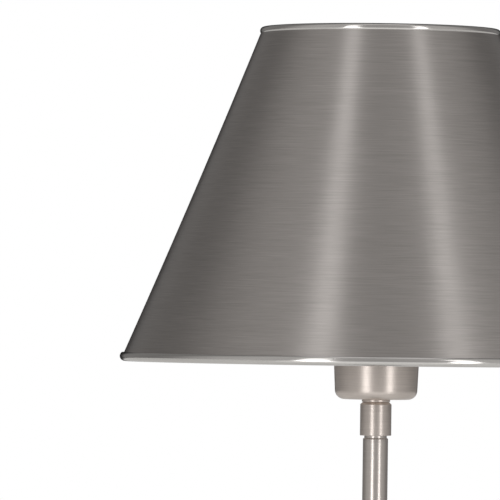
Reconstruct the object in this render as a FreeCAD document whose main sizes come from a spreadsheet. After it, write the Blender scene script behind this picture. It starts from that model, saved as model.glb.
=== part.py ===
import FreeCAD, Part

import math
import os

import Sketcher
from FreeCAD import Rotation, Vector

# Pharmacy floor lamp: a weighted round base, a two-tube mast that slides and turns in its
# lower tube and is held by a thumb screw, and a spun conical metal shade over an E27 holder.
# Millimetres. The origin is the middle of the base's underside, +Z runs up the mast, and the
# cord entry faces +Y.

# ---------------------------------------------------------------- driving dimensions

DRIVING_SIZES = {
    # fits
    "fit_gap": 0.05,            # radial gap between pieces that fit one inside another
    "slide_gap": 0.08,          # radial gap where the mast slides and turns
    "seat_gap": 0.3,            # gap where a curved face seats on another
    # M10 x 1 hollow thread, its nuts and washers
    "thread_outer_radius": 5.0,
    "thread_bore_radius": 3.6,
    "nut_flat_radius": 7.0,
    "nut_thickness": 4.0,
    # base
    "pad_thickness": 2.0,
    "pad_margin": 2.0,          # pad's edge inside the cover's edge
    "pad_hole_radius": 24.0,
    "cover_radius": 135.0,
    "cover_edge_height": 20.0,
    "cover_height": 28.0,
    "cover_flat_radius": 30.0,
    "cover_wall": 1.2,
    "cover_edge_round": 4.0,
    "weight_margin": 4.0,       # weight's edge inside the cover's edge
    "weight_edge_height": 13.0,
    "weight_shoulder_height": 23.0,
    "weight_boss_radius": 28.0,
    "weight_recess_radius": 18.0,
    "weight_recess_depth": 8.0,
    "channel_width": 11.0,
    "channel_height": 11.0,
    "base_washer_radius": 15.0,
    "base_washer_thickness": 1.6,
    "nipple_end_stand": 1.0,
    # cord entry
    "bushing_neck_radius": 4.8,
    "bushing_flange_radius": 6.0,
    "bushing_flange_thickness": 1.5,
    "bushing_bore_radius": 3.3,
    "bushing_height": 9.0,
    # foot of the mast
    "ferrule_flare": 5.5,       # how much wider the ferrule is at its foot
    "ferrule_wall": 2.45,
    "ferrule_foot_height": 4.0,
    "ferrule_height": 26.0,
    "ferrule_floor": 6.0,
    "foot_insert_length": 14.0,
    "thread_engagement": 12.0,
    # lower tube and its guide
    "outer_tube_wall": 1.5,
    "outer_tube_length": 635.0,
    "guide_bush_length": 40.0,
    "guide_bush_wall": 1.37,
    # clamp
    "clamp_wall": 3.95,
    "clamp_socket_depth": 16.0,
    "clamp_head_height": 18.0,
    "clamp_edge_round": 1.5,
    "stud_radius": 3.0,
    "stud_stand": 5.0,
    "stud_grip": 8.0,
    "knob_radius": 9.0,
    "knob_length": 12.0,
    "knob_edge_round": 1.5,
    "knob_flute_radius": 1.3,
    "brake_pad_thickness": 2.0,
    # sliding tube
    "mast_radius": 8.0,
    "mast_wall": 1.0,
    "mast_length": 660.0,
    "mast_reach": 450.0,        # bare length of the sliding tube above the clamp, at rest
    "glide_length": 12.0,
    "foot_plug_flange": 3.0,
    "foot_plug_spigot": 12.0,
    "keeper_thickness": 2.0,
    "plug_spigot": 16.0,
    "shoulder_height": 4.0,
    "shoulder_round": 1.8,
    # head fittings
    "neck_depth": 0.85,         # how far the neck is let in below the tube's surface
    "neck_height": 1.6,
    "collar_radius": 9.95,
    "collar_height": 21.4,
    "collar_chamfer": 1.6,
    "ring_radius": 9.0,
    "ring_height": 1.6,
    "ring_round": 0.5,
    # cup
    "cup_clearance": 6.2,       # room between the holder and the cup's floor corner
    "cup_flare": 1.6,
    "cup_height": 36.0,
    "cup_wall": 1.0,
    "cup_floor_round": 6.0,
    "head_washer_radius": 9.5,
    "head_washer_thickness": 1.0,
    # E27 lamp holder
    "holder_entry_radius": 9.0,
    "holder_cap_radius": 19.8,
    "holder_cap_shoulder": 8.0,
    "holder_cap_height": 18.0,
    "holder_wall": 2.0,
    "holder_floor": 8.0,
    "holder_body_height": 40.0,
    "holder_lip_gap": 1.1,
    "insert_height": 12.0,
    "insert_skirt_wall": 2.0,
    "contact_radius": 4.0,
    "contact_thickness": 1.0,
    "thread_shell_radius": 13.7,
    "thread_shell_wall": 0.4,
    "thread_shell_height": 22.0,
    "shade_ring_width": 8.65,
    "shade_ring_height": 5.0,
    "shade_ring_lip": 2.0,
    "ring_seat_height": 40.0,   # top of the lower shade ring above the cup's underside
    # lamp bulb
    "bulb_radius": 30.0,
    "bulb_length": 105.0,
    "bulb_cap_gap": 0.3,
    "bulb_cap_height": 24.0,
    "bulb_cap_wall": 0.5,
    "bulb_tip_radius": 4.5,
    "bulb_tip_height": 3.0,
    "bulb_neck_step": 0.8,
    "bulb_glass_wall": 0.9,
    # shade
    "shade_drop": 25.7,         # bottom rim's middle above the cup's underside
    "shade_height": 208.0,      # from the middle of one rim to the middle of the other
    "skin_bottom_radius": 161.8,
    "skin_top_radius": 75.3,
    "skin_sag": 1.0,
    "skin_wall": 0.8,
    "skin_tuck": 1.0,
    "tuck_gap": 0.15,
    "bottom_rim_inset": 1.5,    # bead's middle inside the skin's outer face
    "bottom_rim_bead": 3.1,
    "top_rim_inset": 1.1,
    "top_rim_bead": 2.5,
    # shade carrier
    "spider_thickness": 1.6,
    "spider_hub_inset": 1.5,    # hub's edge inside the shade rings' edge
    "spider_arm_width": 12.0,
    "spider_foot_height": 22.0,
    "spider_foot_thickness": 1.2,
}

CLAMP_DIRECTION = Vector(1, 0, 0)
CORD_DIRECTION = Vector(0, 1, 0)
KNOB_FLUTES = 16
SPIDER_ARMS = 3
FIRST_SPIDER_ARM = 30.0         # degrees from +X, so that no arm points at the front
NUT_SIDES = 6
SHOULDER_FULLNESS = 0.33        # how far the rounded shoulder keeps out of its corner
SOLID_LIMIT = 1e-6


class Size:
    """A length that knows its value and the sheet expression that it comes from."""

    def __init__(self, value, text):
        self.value = float(value)
        self.text = text

    def joined(self, other, sign, value):
        return Size(value, "(%s %s %s)" % (self.text, sign, as_size(other).text))

    def __add__(self, other):
        return self.joined(other, "+", self.value + as_size(other).value)

    def __sub__(self, other):
        return self.joined(other, "-", self.value - as_size(other).value)

    def __mul__(self, factor):
        return self.joined(factor, "*", self.value * as_size(factor).value)

    def __truediv__(self, other):
        return self.joined(other, "/", self.value / as_size(other).value)


def as_size(number):
    """Return the number as a Size, leaving a Size as it is."""
    if isinstance(number, Size):
        return number
    return Size(number, repr(float(number)))


ZERO = Size(0.0, "0")

doc = FreeCAD.newDocument("pharmacy_floor_lamp")
sheet = doc.addObject("Spreadsheet::Sheet", "Sizes")
for row, (alias, number) in enumerate(DRIVING_SIZES.items(), start=1):
    sheet.set("A%d" % row, alias)
    sheet.set("B%d" % row, str(number))
    sheet.setAlias("B%d" % row, alias)
doc.recompute()

size = {alias: Size(number, "Sizes." + alias) for alias, number in DRIVING_SIZES.items()}
pieces = []

# Radii that follow from what fits inside them.
thread_hole = size["thread_outer_radius"] + size["fit_gap"]
guide_bore = size["mast_radius"] + size["slide_gap"]
outer_tube_bore = guide_bore + size["guide_bush_wall"] + size["fit_gap"]
outer_tube_radius = outer_tube_bore + size["outer_tube_wall"]
tube_socket = outer_tube_radius + size["fit_gap"]
clamp_radius = tube_socket + size["clamp_wall"]
neck_radius = size["mast_radius"] - size["neck_depth"]
holder_sleeve = size["holder_cap_radius"] + size["fit_gap"]
shade_ring_radius = holder_sleeve + size["shade_ring_width"]
cup_floor_radius = size["holder_cap_radius"] + size["cup_clearance"]
cup_rim_radius = cup_floor_radius + size["cup_flare"]
thread_shell_outer = size["thread_shell_radius"] + size["thread_shell_wall"]
bulb_cap_radius = size["thread_shell_radius"] - size["bulb_cap_gap"]
bulb_neck_radius = bulb_cap_radius - size["bulb_neck_step"]
pad_radius = size["cover_radius"] - size["pad_margin"]
weight_radius = size["cover_radius"] - size["weight_margin"]


# ---------------------------------------------------------------- ways of making a piece

def bind(feature, prop, length):
    """Bind one property of a feature to a size."""
    feature.setExpression(prop, length.text)


def new_body(label, level, turn=None, along=None):
    """Start a body, standing at a level on the lamp's axis or lying along a direction."""
    body = doc.addObject("PartDesign::Body", label)
    body.Label = label
    if along is None:
        body.Placement.Base = Vector(0, 0, level.value)
        bind(body, "Placement.Base.z", level)
    else:
        body.Placement = FreeCAD.Placement(Vector(0, 0, 0), Rotation(Vector(0, 0, 1), along))
        bind(body, "Placement.Base.z", level)
        for name, part in (("x", along.x), ("y", along.y)):
            if part:
                bind(body, "Placement.Base." + name, turn)
    pieces.append(body)
    return body


def origin_plane(body, role):
    """Find one of the body's own origin planes."""
    for feature in body.Origin.OriginFeatures:
        if feature.Role == role:
            return feature
    raise RuntimeError("no plane " + role)


def new_sketch(body, name, role="XZ_Plane"):
    """Start a sketch on one of the body's origin planes."""
    sketch = body.newObject("Sketcher::SketchObject", name)
    sketch.AttachmentSupport = [(origin_plane(body, role), "")]
    sketch.MapMode = "FlatFace"
    return sketch


def constrain(sketch, kind, geometry, point, length):
    """Hold a sketch point at a distance from the origin, bound to a size."""
    if abs(length.value) < SOLID_LIMIT:
        axis = -2 if kind == "DistanceX" else -1
        sketch.addConstraint(Sketcher.Constraint("PointOnObject", geometry, point, axis))
        return
    constraint = Sketcher.Constraint(kind, -1, 1, geometry, point, length.value)
    index = sketch.addConstraint(constraint)
    sketch.setExpression("Constraints[%d]" % index, length.text)


def arc_through(first, middle, last):
    """Return the arc through three points, and whether it starts at the first one."""
    circle = Part.Arc(first, middle, last).toShape().Curve
    center = circle.Center
    radius = circle.Radius
    angles = [math.atan2(p.y - center.y, p.x - center.x) for p in (first, middle, last)]
    forward = ((angles[1] - angles[0]) % (2 * math.pi)) < ((angles[2] - angles[0]) % (2 * math.pi))
    start, end = (angles[0], angles[2]) if forward else (angles[2], angles[0])
    if end < start:
        end += 2 * math.pi
    upright = Part.Circle(center, Vector(0, 0, 1), radius)
    return Part.ArcOfCircle(upright, start, end), forward


def draw_outline(sketch, corners, bulges=None):
    """Draw a closed outline of lines, and of arcs where a bulge point is given.

    corners is a list of (radius, height) sizes; bulges maps the number of a corner to the
    point that the run from it to the next corner passes through.
    """
    bulges = bulges or {}
    points = [Vector(x.value, y.value, 0) for x, y in corners]
    starts = []
    ends = []
    for number, point in enumerate(points):
        following = points[(number + 1) % len(points)]
        if number in bulges:
            via = Vector(bulges[number][0].value, bulges[number][1].value, 0)
            arc, forward = arc_through(point, via, following)
            geometry = sketch.addGeometry(arc, False)
            starts.append((geometry, 1 if forward else 2))
            ends.append((geometry, 2 if forward else 1))
        else:
            geometry = sketch.addGeometry(Part.LineSegment(point, following), False)
            starts.append((geometry, 1))
            ends.append((geometry, 2))
    for number, (x, y) in enumerate(corners):
        before = ends[number - 1]
        here = starts[number]
        sketch.addConstraint(Sketcher.Constraint("Coincident", *before, *here))
        constrain(sketch, "DistanceX", *here, x)
        constrain(sketch, "DistanceY", *here, y)
    for number, (x, y) in bulges.items():
        mark = sketch.addGeometry(Part.Point(Vector(x.value, y.value, 0)), True)
        sketch.addConstraint(Sketcher.Constraint("PointOnObject", mark, 1, starts[number][0]))
        constrain(sketch, "DistanceX", mark, 1, x)
        constrain(sketch, "DistanceY", mark, 1, y)


def turn_outline(body, name, corners, bulges=None, kind="Revolution"):
    """Turn an outline of (radius, height) corners about the body's Z axis."""
    sketch = new_sketch(body, name + "_outline")
    draw_outline(sketch, corners, bulges)
    feature = body.newObject("PartDesign::" + kind, name)
    feature.Profile = sketch
    feature.ReferenceAxis = (sketch, ["V_Axis"])
    feature.Angle = 360.0
    doc.recompute()
    return feature


def round_edges(body, name, rings, radius, kind="Fillet"):
    """Round or chamfer the circular edges that lie at the given (radius, height) places."""
    base = body.Tip
    names = []
    for number, edge in enumerate(base.Shape.Edges, start=1):
        if not hasattr(edge.Curve, "Radius"):
            continue
        at = edge.Curve.Center
        for ring_radius, height in rings:
            same_radius = abs(edge.Curve.Radius - ring_radius.value) < 1e-4
            on_axis = math.hypot(at.x, at.y) < 1e-4
            if same_radius and on_axis and abs(at.z - height.value) < 1e-4:
                names.append("Edge%d" % number)
    if len(names) != len(rings):
        raise RuntimeError("%s: found %d of %d edges" % (name, len(names), len(rings)))
    feature = body.newObject("PartDesign::" + kind, name)
    feature.Base = (base, names)
    bind(feature, "Radius" if kind == "Fillet" else "Size", radius)
    doc.recompute()
    return feature


def turned(label, level, corners, bulges=None, along=None, reach=None):
    """Make a piece that is turned or spun about its own axis."""
    body = new_body(label, level, reach, along)
    turn_outline(body, label + "_turning", corners, bulges)
    return body


def tube(label, level, inner, outer, length):
    """Make a plain tube or a washer."""
    corners = [(inner, ZERO), (outer, ZERO), (outer, length), (inner, length)]
    return turned(label, level, corners)


def cut_pocket(body, sketch, name, length, reverse):
    """Pocket a sketch to one side and make sure that it takes material away."""
    before = body.Shape.Volume
    pocket = body.newObject("PartDesign::Pocket", name)
    pocket.Profile = sketch
    pocket.Type = "Length"
    pocket.Reversed = reverse
    bind(pocket, "Length", length)
    doc.recompute()
    if body.Shape.Volume > before - SOLID_LIMIT:
        raise RuntimeError(name + " cuts nothing")
    return pocket


def draw_circle(sketch, x, y, radius):
    """Draw a circle whose middle and radius are bound to sizes."""
    circle = Part.Circle(Vector(x.value, y.value, 0), Vector(0, 0, 1), radius.value)
    geometry = sketch.addGeometry(circle, False)
    constrain(sketch, "DistanceX", geometry, 3, x)
    constrain(sketch, "DistanceY", geometry, 3, y)
    index = sketch.addConstraint(Sketcher.Constraint("Radius", geometry, radius.value))
    sketch.setExpression("Constraints[%d]" % index, radius.text)


def hex_nut(label, level):
    """Make a thin hexagonal nut for the hollow thread."""
    flat = size["nut_flat_radius"]
    body = new_body(label, level)
    sketch = new_sketch(body, label + "_outline", "XY_Plane")
    across_corners = flat / math.cos(math.pi / NUT_SIDES)
    corners = []
    for side in range(NUT_SIDES):
        angle = 2 * math.pi * side / NUT_SIDES
        corners.append((across_corners * math.cos(angle), across_corners * math.sin(angle)))
    draw_outline(sketch, corners)
    draw_circle(sketch, ZERO, ZERO, size["thread_outer_radius"] + size["fit_gap"])
    pad = body.newObject("PartDesign::Pad", label + "_block")
    pad.Profile = sketch
    bind(pad, "Length", size["nut_thickness"])
    doc.recompute()
    return body


# ---------------------------------------------------------------- levels up the lamp

cover_level = size["pad_thickness"]
cover_top = cover_level + size["cover_height"]
recess_top = cover_level + size["weight_recess_depth"]
base_washer_level = recess_top - size["base_washer_thickness"]
base_nut_level = base_washer_level - size["nut_thickness"]
base_nipple_level = base_nut_level - size["nipple_end_stand"]
outer_tube_level = cover_top + size["ferrule_floor"]
outer_tube_top = outer_tube_level + size["outer_tube_length"]
clamp_level = outer_tube_top - size["clamp_socket_depth"]
clamp_top = outer_tube_top + size["clamp_head_height"]
screw_level = outer_tube_top + size["clamp_head_height"] / 2
mast_top = clamp_top + size["mast_reach"]
mast_level = mast_top - size["shoulder_height"] - size["mast_length"]
collar_level = mast_top + size["neck_height"]
ring_level = collar_level + size["collar_height"]
cup_level = ring_level + size["ring_height"]
head_washer_level = cup_level + size["cup_wall"]
head_nut_level = head_washer_level + size["head_washer_thickness"]
holder_level = head_nut_level + size["nut_thickness"]
holder_body_level = holder_level + size["holder_cap_height"]
bottom_rim_level = cup_level + size["shade_drop"]
top_rim_level = bottom_rim_level + size["shade_height"]
spider_level = cup_level + size["ring_seat_height"]


# ---------------------------------------------------------------- base

def make_base_pad():
    """Felt-faced pad under the base, open in the middle so that the nut can be reached."""
    tube("base_pad", ZERO, size["pad_hole_radius"], pad_radius, size["pad_thickness"])


def make_base_weight():
    """Cast-iron disc with a boss that carries the cover, a nut recess and a cord channel."""
    boss = size["weight_boss_radius"]
    recess = size["weight_recess_radius"]
    depth = size["weight_recess_depth"]
    boss_top = size["cover_height"] - size["cover_wall"]
    corners = [
        (recess, ZERO),
        (weight_radius, ZERO),
        (weight_radius, size["weight_edge_height"]),
        (boss, size["weight_shoulder_height"]),
        (boss, boss_top),
        (thread_hole, boss_top),
        (thread_hole, depth),
        (recess, depth),
    ]
    body = turned("base_weight", cover_level, corners)
    channel = new_sketch(body, "cord_channel_outline", "XY_Plane")
    half = size["channel_width"] / 2
    start = recess / 2
    end = weight_radius + size["pad_thickness"]
    minus_half = ZERO - half
    draw_outline(channel, [(minus_half, start), (half, start), (half, end), (minus_half, end)])
    cut_pocket(body, channel, "cord_channel", size["channel_height"], True)


def make_base_cover():
    """Spun steel cover: upright edge, rounded shoulder and a shallow cone to a flat top."""
    wall = size["cover_wall"]
    outer = size["cover_radius"]
    edge = size["cover_edge_height"]
    top = size["cover_height"]
    flat = size["cover_flat_radius"]
    corners = [
        (outer - wall, ZERO),
        (outer, ZERO),
        (outer, edge),
        (flat, top),
        (thread_hole, top),
        (thread_hole, top - wall),
        (flat, top - wall),
        (outer - wall, edge - wall),
    ]
    body = turned("base_cover", cover_level, corners)
    round_edges(body, "cover_edge", [(outer, edge)], size["cover_edge_round"])
    inner_round = size["cover_edge_round"] - wall
    round_edges(body, "cover_inner_edge", [(outer - wall, edge - wall)], inner_round)
    hole = new_sketch(body, "cord_hole_outline")
    height = size["bushing_height"] - cover_level
    draw_circle(hole, ZERO, height, size["bushing_neck_radius"] + size["fit_gap"])
    cut_pocket(body, hole, "cord_hole", outer + wall, False)


def make_cord_bushing():
    """Snap-in plastic bushing that lines the cord hole at the back of the cover."""
    flange = size["bushing_flange_radius"]
    thick = size["bushing_flange_thickness"]
    neck = size["bushing_neck_radius"]
    bore = size["bushing_bore_radius"]
    neck_start = thick
    neck_end = thick + size["cover_wall"] + size["seat_gap"]
    corners = [
        (bore, ZERO),
        (flange, ZERO),
        (flange, neck_start),
        (neck, neck_start),
        (neck, neck_end),
        (flange, neck_end),
        (flange, neck_end + thick),
        (bore, neck_end + thick),
    ]
    reach = size["cover_radius"] - size["cover_wall"] - thick - size["seat_gap"]
    body = turned("cord_bushing", size["bushing_height"], corners, None, CORD_DIRECTION, reach)
    rim = [(flange, neck_end + thick)]
    round_edges(body, "bushing_edge", rim, thick / 2)


def make_base_fixing():
    """Hollow thread, washer and nut that pull the ferrule, cover and weight together."""
    washer = size["base_washer_radius"]
    tube("base_washer", base_washer_level, thread_hole, washer, size["base_washer_thickness"])
    hex_nut("base_nut", base_nut_level)
    length = outer_tube_level + size["thread_engagement"] - base_nipple_level
    tube("base_nipple", base_nipple_level, size["thread_bore_radius"],
         size["thread_outer_radius"], length)


def make_base_ferrule():
    """Turned foot that hides the joint of the lower tube and the base."""
    top = tube_socket + size["ferrule_wall"]
    foot = top + size["ferrule_flare"]
    foot_height = size["ferrule_foot_height"]
    height = size["ferrule_height"]
    floor = size["ferrule_floor"]
    corners = [
        (thread_hole, ZERO),
        (foot, ZERO),
        (foot, foot_height),
        (top, height),
        (tube_socket, height),
        (tube_socket, floor),
        (thread_hole, floor),
    ]
    body = turned("base_ferrule", cover_top, corners)
    round_edges(body, "ferrule_edge", [(foot, foot_height)], size["clamp_edge_round"])


def make_outer_tube():
    """Lower tube with its threaded insert at the foot and its guide bush at the top."""
    tube("outer_tube", outer_tube_level, outer_tube_bore, outer_tube_radius,
         size["outer_tube_length"])
    fitted = outer_tube_bore - size["fit_gap"]
    tube("foot_insert", outer_tube_level, thread_hole, fitted, size["foot_insert_length"])
    guide_level = outer_tube_top - size["guide_bush_length"]
    tube("guide_bush", guide_level, guide_bore, fitted, size["guide_bush_length"])


# ---------------------------------------------------------------- clamp

def make_clamp_collar():
    """Turned collar on the lower tube, with a cross hole for the thumb screw."""
    depth = size["clamp_socket_depth"]
    height = depth + size["clamp_head_height"]
    corners = [
        (tube_socket, ZERO),
        (clamp_radius, ZERO),
        (clamp_radius, height),
        (guide_bore, height),
        (guide_bore, depth),
        (tube_socket, depth),
    ]
    body = turned("clamp_collar", clamp_level, corners)
    edges = [(clamp_radius, ZERO), (clamp_radius, height)]
    round_edges(body, "clamp_edges", edges, size["clamp_edge_round"])
    hole = new_sketch(body, "clamp_hole_outline", "YZ_Plane")
    draw_circle(hole, ZERO, screw_level - clamp_level, size["stud_radius"] + size["fit_gap"])
    cut_pocket(body, hole, "clamp_hole", clamp_radius + size["stud_radius"], True)


def make_clamp_screw():
    """Brake pad, threaded stud and fluted knob, one behind the other along +X."""
    stud = size["stud_radius"]
    pad_start = size["mast_radius"] + size["seat_gap"]
    pad = size["brake_pad_thickness"]
    pad_corners = [(ZERO, ZERO), (stud, ZERO), (stud, pad), (ZERO, pad)]
    turned("brake_pad", screw_level, pad_corners, None, CLAMP_DIRECTION, pad_start)

    stud_start = pad_start + pad
    stud_end = clamp_radius + size["stud_stand"] + size["stud_grip"]
    length = stud_end - stud_start
    stud_corners = [(ZERO, ZERO), (stud, ZERO), (stud, length), (ZERO, length)]
    turned("clamp_stud", screw_level, stud_corners, None, CLAMP_DIRECTION, stud_start)

    radius = size["knob_radius"]
    knob = size["knob_length"]
    grip = size["stud_grip"]
    bore = stud + size["fit_gap"]
    knob_corners = [
        (bore, ZERO),
        (radius, ZERO),
        (radius, knob),
        (ZERO, knob),
        (ZERO, grip + size["fit_gap"]),
        (bore, grip + size["fit_gap"]),
    ]
    knob_start = clamp_radius + size["stud_stand"]
    body = turned("clamp_knob", screw_level, knob_corners, None, CLAMP_DIRECTION, knob_start)
    rims = [(radius, ZERO), (radius, knob)]
    round_edges(body, "knob_edges", rims, size["knob_edge_round"])
    flute = new_sketch(body, "flute_outline", "XY_Plane")
    draw_circle(flute, radius + size["knob_flute_radius"] / 2, ZERO, size["knob_flute_radius"])
    pocket = cut_pocket(body, flute, "flute", knob, True)
    flutes = body.newObject("PartDesign::PolarPattern", "flutes")
    flutes.Originals = [pocket]
    flutes.Axis = (flute, ["N_Axis"])
    flutes.Angle = 360.0
    flutes.Occurrences = KNOB_FLUTES
    body.Tip = flutes
    doc.recompute()


# ---------------------------------------------------------------- sliding mast

def make_mast():
    """Sliding tube with its foot plug, glide ring, keeper ring and rounded end plug."""
    radius = size["mast_radius"]
    inner = radius - size["mast_wall"]
    fitted = inner - size["fit_gap"]
    tube("mast_tube", mast_level, inner, radius, size["mast_length"])

    flange = size["foot_plug_flange"]
    spigot = size["foot_plug_spigot"]
    bore = size["thread_bore_radius"]
    plug_corners = [
        (bore, ZERO),
        (radius, ZERO),
        (radius, flange),
        (fitted, flange),
        (fitted, flange + spigot),
        (bore, flange + spigot),
    ]
    plug = turned("mast_foot_plug", mast_level - flange, plug_corners)
    round_edges(plug, "foot_plug_edge", [(radius, ZERO)], flange / 3)

    glide_radius = outer_tube_bore - size["slide_gap"]
    around_mast = radius + size["slide_gap"]
    tube("mast_glide", mast_level, around_mast, glide_radius, size["glide_length"])
    keeper_radius = glide_radius - size["seat_gap"]
    keeper_level = mast_level + size["glide_length"] + size["slide_gap"]
    tube("glide_keeper", keeper_level, radius + size["fit_gap"], keeper_radius,
         size["keeper_thickness"])

    shoulder = size["shoulder_height"]
    shoulder_round = size["shoulder_round"]
    neck = size["neck_height"]
    plug_spigot = size["plug_spigot"]
    end_corners = [
        (thread_hole, ZERO),
        (fitted, ZERO),
        (fitted, plug_spigot),
        (radius, plug_spigot),
        (radius, plug_spigot + shoulder - shoulder_round),
        (neck_radius, plug_spigot + shoulder),
        (neck_radius, plug_spigot + shoulder + neck),
        (thread_hole, plug_spigot + shoulder + neck),
    ]
    round_middle = (
        radius - (radius - neck_radius) * SHOULDER_FULLNESS,
        plug_spigot + shoulder - shoulder_round * SHOULDER_FULLNESS,
    )
    end_level = mast_top - shoulder - plug_spigot
    turned("mast_end_plug", end_level, end_corners, {4: round_middle})


# ---------------------------------------------------------------- head fittings and cup

def make_head_collar():
    """Turned collar with a chamfered top, and the thin ring that spaces the cup from it."""
    radius = size["collar_radius"]
    height = size["collar_height"]
    body = tube("head_collar", collar_level, thread_hole, radius, height)
    round_edges(body, "collar_chamfer", [(radius, height)], size["collar_chamfer"], "Chamfer")
    ring = tube("spacer_ring", ring_level, thread_hole, size["ring_radius"], size["ring_height"])
    ring_edges = [(size["ring_radius"], ZERO), (size["ring_radius"], size["ring_height"])]
    round_edges(ring, "spacer_edges", ring_edges, size["ring_round"])


def make_cup():
    """Spun cup that covers the foot of the lamp holder."""
    floor = cup_floor_radius
    rim = cup_rim_radius
    wall = size["cup_wall"]
    height = size["cup_height"]
    corners = [
        (thread_hole, ZERO),
        (floor, ZERO),
        (rim, height),
        (rim - wall, height),
        (floor - wall, wall),
        (thread_hole, wall),
    ]
    body = turned("holder_cup", cup_level, corners)
    round_edges(body, "cup_corner", [(floor, ZERO)], size["cup_floor_round"])
    inner_round = size["cup_floor_round"] - wall
    round_edges(body, "cup_inner_corner", [(floor - wall, wall)], inner_round)


def make_head_fixing():
    """Hollow thread, washer and nut that clamp the cup, ring and collar to the mast."""
    start = mast_top - size["shoulder_height"] - size["thread_engagement"]
    end = holder_level + size["holder_floor"]
    tube("head_nipple", start, size["thread_bore_radius"], size["thread_outer_radius"],
         end - start)
    tube("head_washer", head_washer_level, thread_hole, size["head_washer_radius"],
         size["head_washer_thickness"])
    hex_nut("head_nut", head_nut_level)


# ---------------------------------------------------------------- lamp holder and bulb

def make_holder():
    """E27 holder: screwed cap, threaded body, ceramic insert, contacts and shade rings."""
    radius = size["holder_cap_radius"]
    wall = size["holder_wall"]
    entry = size["holder_entry_radius"]
    shoulder = size["holder_cap_shoulder"]
    floor = size["holder_floor"]
    cap_height = size["holder_cap_height"]
    cap_corners = [
        (thread_hole, ZERO),
        (entry, ZERO),
        (radius, shoulder),
        (radius, cap_height),
        (radius - wall, cap_height),
        (radius - wall, shoulder + wall),
        (entry, floor),
        (thread_hole, floor),
    ]
    turned("holder_cap", holder_level, cap_corners)

    height = size["holder_body_height"]
    lip = thread_shell_outer + size["holder_lip_gap"]
    body_corners = [
        (radius - wall, ZERO),
        (radius, ZERO),
        (radius, height),
        (lip, height),
        (lip, height - wall),
        (radius - wall, height - wall),
    ]
    turned("holder_body", holder_body_level, body_corners)

    insert_radius = radius - wall - size["fit_gap"]
    insert_height = size["insert_height"]
    shell_height = size["thread_shell_height"]
    skirt_inner = thread_shell_outer + size["fit_gap"]
    skirt_outer = skirt_inner + size["insert_skirt_wall"]
    insert_corners = [
        (ZERO, ZERO),
        (insert_radius, ZERO),
        (insert_radius, insert_height),
        (skirt_outer, insert_height),
        (skirt_outer, insert_height + shell_height),
        (skirt_inner, insert_height + shell_height),
        (skirt_inner, insert_height),
        (ZERO, insert_height),
    ]
    turned("holder_insert", holder_body_level, insert_corners)

    contact_level = holder_body_level + insert_height
    contact = size["contact_radius"]
    thick = size["contact_thickness"]
    contact_corners = [(ZERO, ZERO), (contact, ZERO), (contact, thick), (ZERO, thick)]
    turned("centre_contact", contact_level, contact_corners)
    tube("thread_shell", contact_level, size["thread_shell_radius"], thread_shell_outer, shell_height)

    ring_height = size["shade_ring_height"]
    ring_lip = size["shade_ring_lip"]
    ring_root = holder_sleeve + ring_lip
    lower_corners = [
        (holder_sleeve, ZERO),
        (ring_root, ZERO),
        (shade_ring_radius, ring_height - ring_lip),
        (shade_ring_radius, ring_height),
        (holder_sleeve, ring_height),
    ]
    turned("lower_shade_ring", spider_level - ring_height, lower_corners)
    upper_corners = [
        (holder_sleeve, ZERO),
        (shade_ring_radius, ZERO),
        (shade_ring_radius, ring_lip),
        (ring_root, ring_height),
        (holder_sleeve, ring_height),
    ]
    turned("upper_shade_ring", spider_level + size["spider_thickness"], upper_corners)


def make_bulb():
    """Round bulb with a hollow glass envelope, a screw cap and a tip contact."""
    tip_level = holder_body_level + size["insert_height"] + size["contact_thickness"]
    tip = size["bulb_tip_radius"]
    tip_height = size["bulb_tip_height"]
    tip_corners = [(ZERO, ZERO), (tip, ZERO), (tip, tip_height), (ZERO, tip_height)]
    turned("bulb_tip", tip_level, tip_corners)

    cap_level = tip_level + tip_height
    cap_wall = size["bulb_cap_wall"]
    cap_height = size["bulb_cap_height"]
    cap_corners = [
        (ZERO, ZERO),
        (tip, ZERO),
        (bulb_cap_radius, tip_height),
        (bulb_cap_radius, cap_height),
        (bulb_cap_radius - cap_wall, cap_height),
        (bulb_cap_radius - cap_wall, tip_height + cap_wall),
        (tip, cap_wall),
        (ZERO, cap_wall),
    ]
    turned("bulb_cap", cap_level, cap_corners)

    wall = size["bulb_glass_wall"]
    neck = bulb_neck_radius
    radius = size["bulb_radius"]
    glass_level = cap_level + cap_height / 2
    height = tip_level + size["bulb_length"] - glass_level
    middle = height - radius
    foot = cap_height / 2
    slant = math.sqrt(0.5)
    waist = (neck + (radius - neck) * 0.42, foot + (middle - foot) * 0.5)
    inner_waist = (waist[0] - wall, waist[1])
    inner = radius - wall
    glass_corners = [
        (neck - wall, ZERO),
        (neck, ZERO),
        (neck, foot),
        (radius, middle),
        (ZERO, height),
        (ZERO, height - wall),
        (inner, middle),
        (neck - wall, foot),
    ]
    glass_bulges = {
        2: waist,
        3: (radius * slant, middle + radius * slant),
        5: (inner * slant, middle + inner * slant),
        6: inner_waist,
    }
    turned("bulb_glass", glass_level, glass_corners, glass_bulges)


# ---------------------------------------------------------------- shade

def skin_radius(above_rim):
    """Outer radius of the skin's straight chord at a height above the bottom rim's middle."""
    fall = (size["skin_bottom_radius"] - size["skin_top_radius"]) / size["shade_height"]
    return size["skin_bottom_radius"] - fall * above_rim


def make_shade_skin():
    """Spun cone, slightly hollow along its side, whose edges tuck into the two rims."""
    tuck = size["skin_tuck"]
    wall = size["skin_wall"]
    bottom = skin_radius(ZERO - tuck)
    top = skin_radius(size["shade_height"] + tuck)
    height = size["shade_height"] + tuck * 2
    middle = (bottom + top) / 2 - size["skin_sag"]
    corners = [
        (bottom - wall, ZERO),
        (bottom, ZERO),
        (top, height),
        (top - wall, height),
    ]
    bulges = {1: (middle, height / 2), 3: (middle - wall, height / 2)}
    turned("shade_skin", bottom_rim_level - tuck, corners, bulges)


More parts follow.
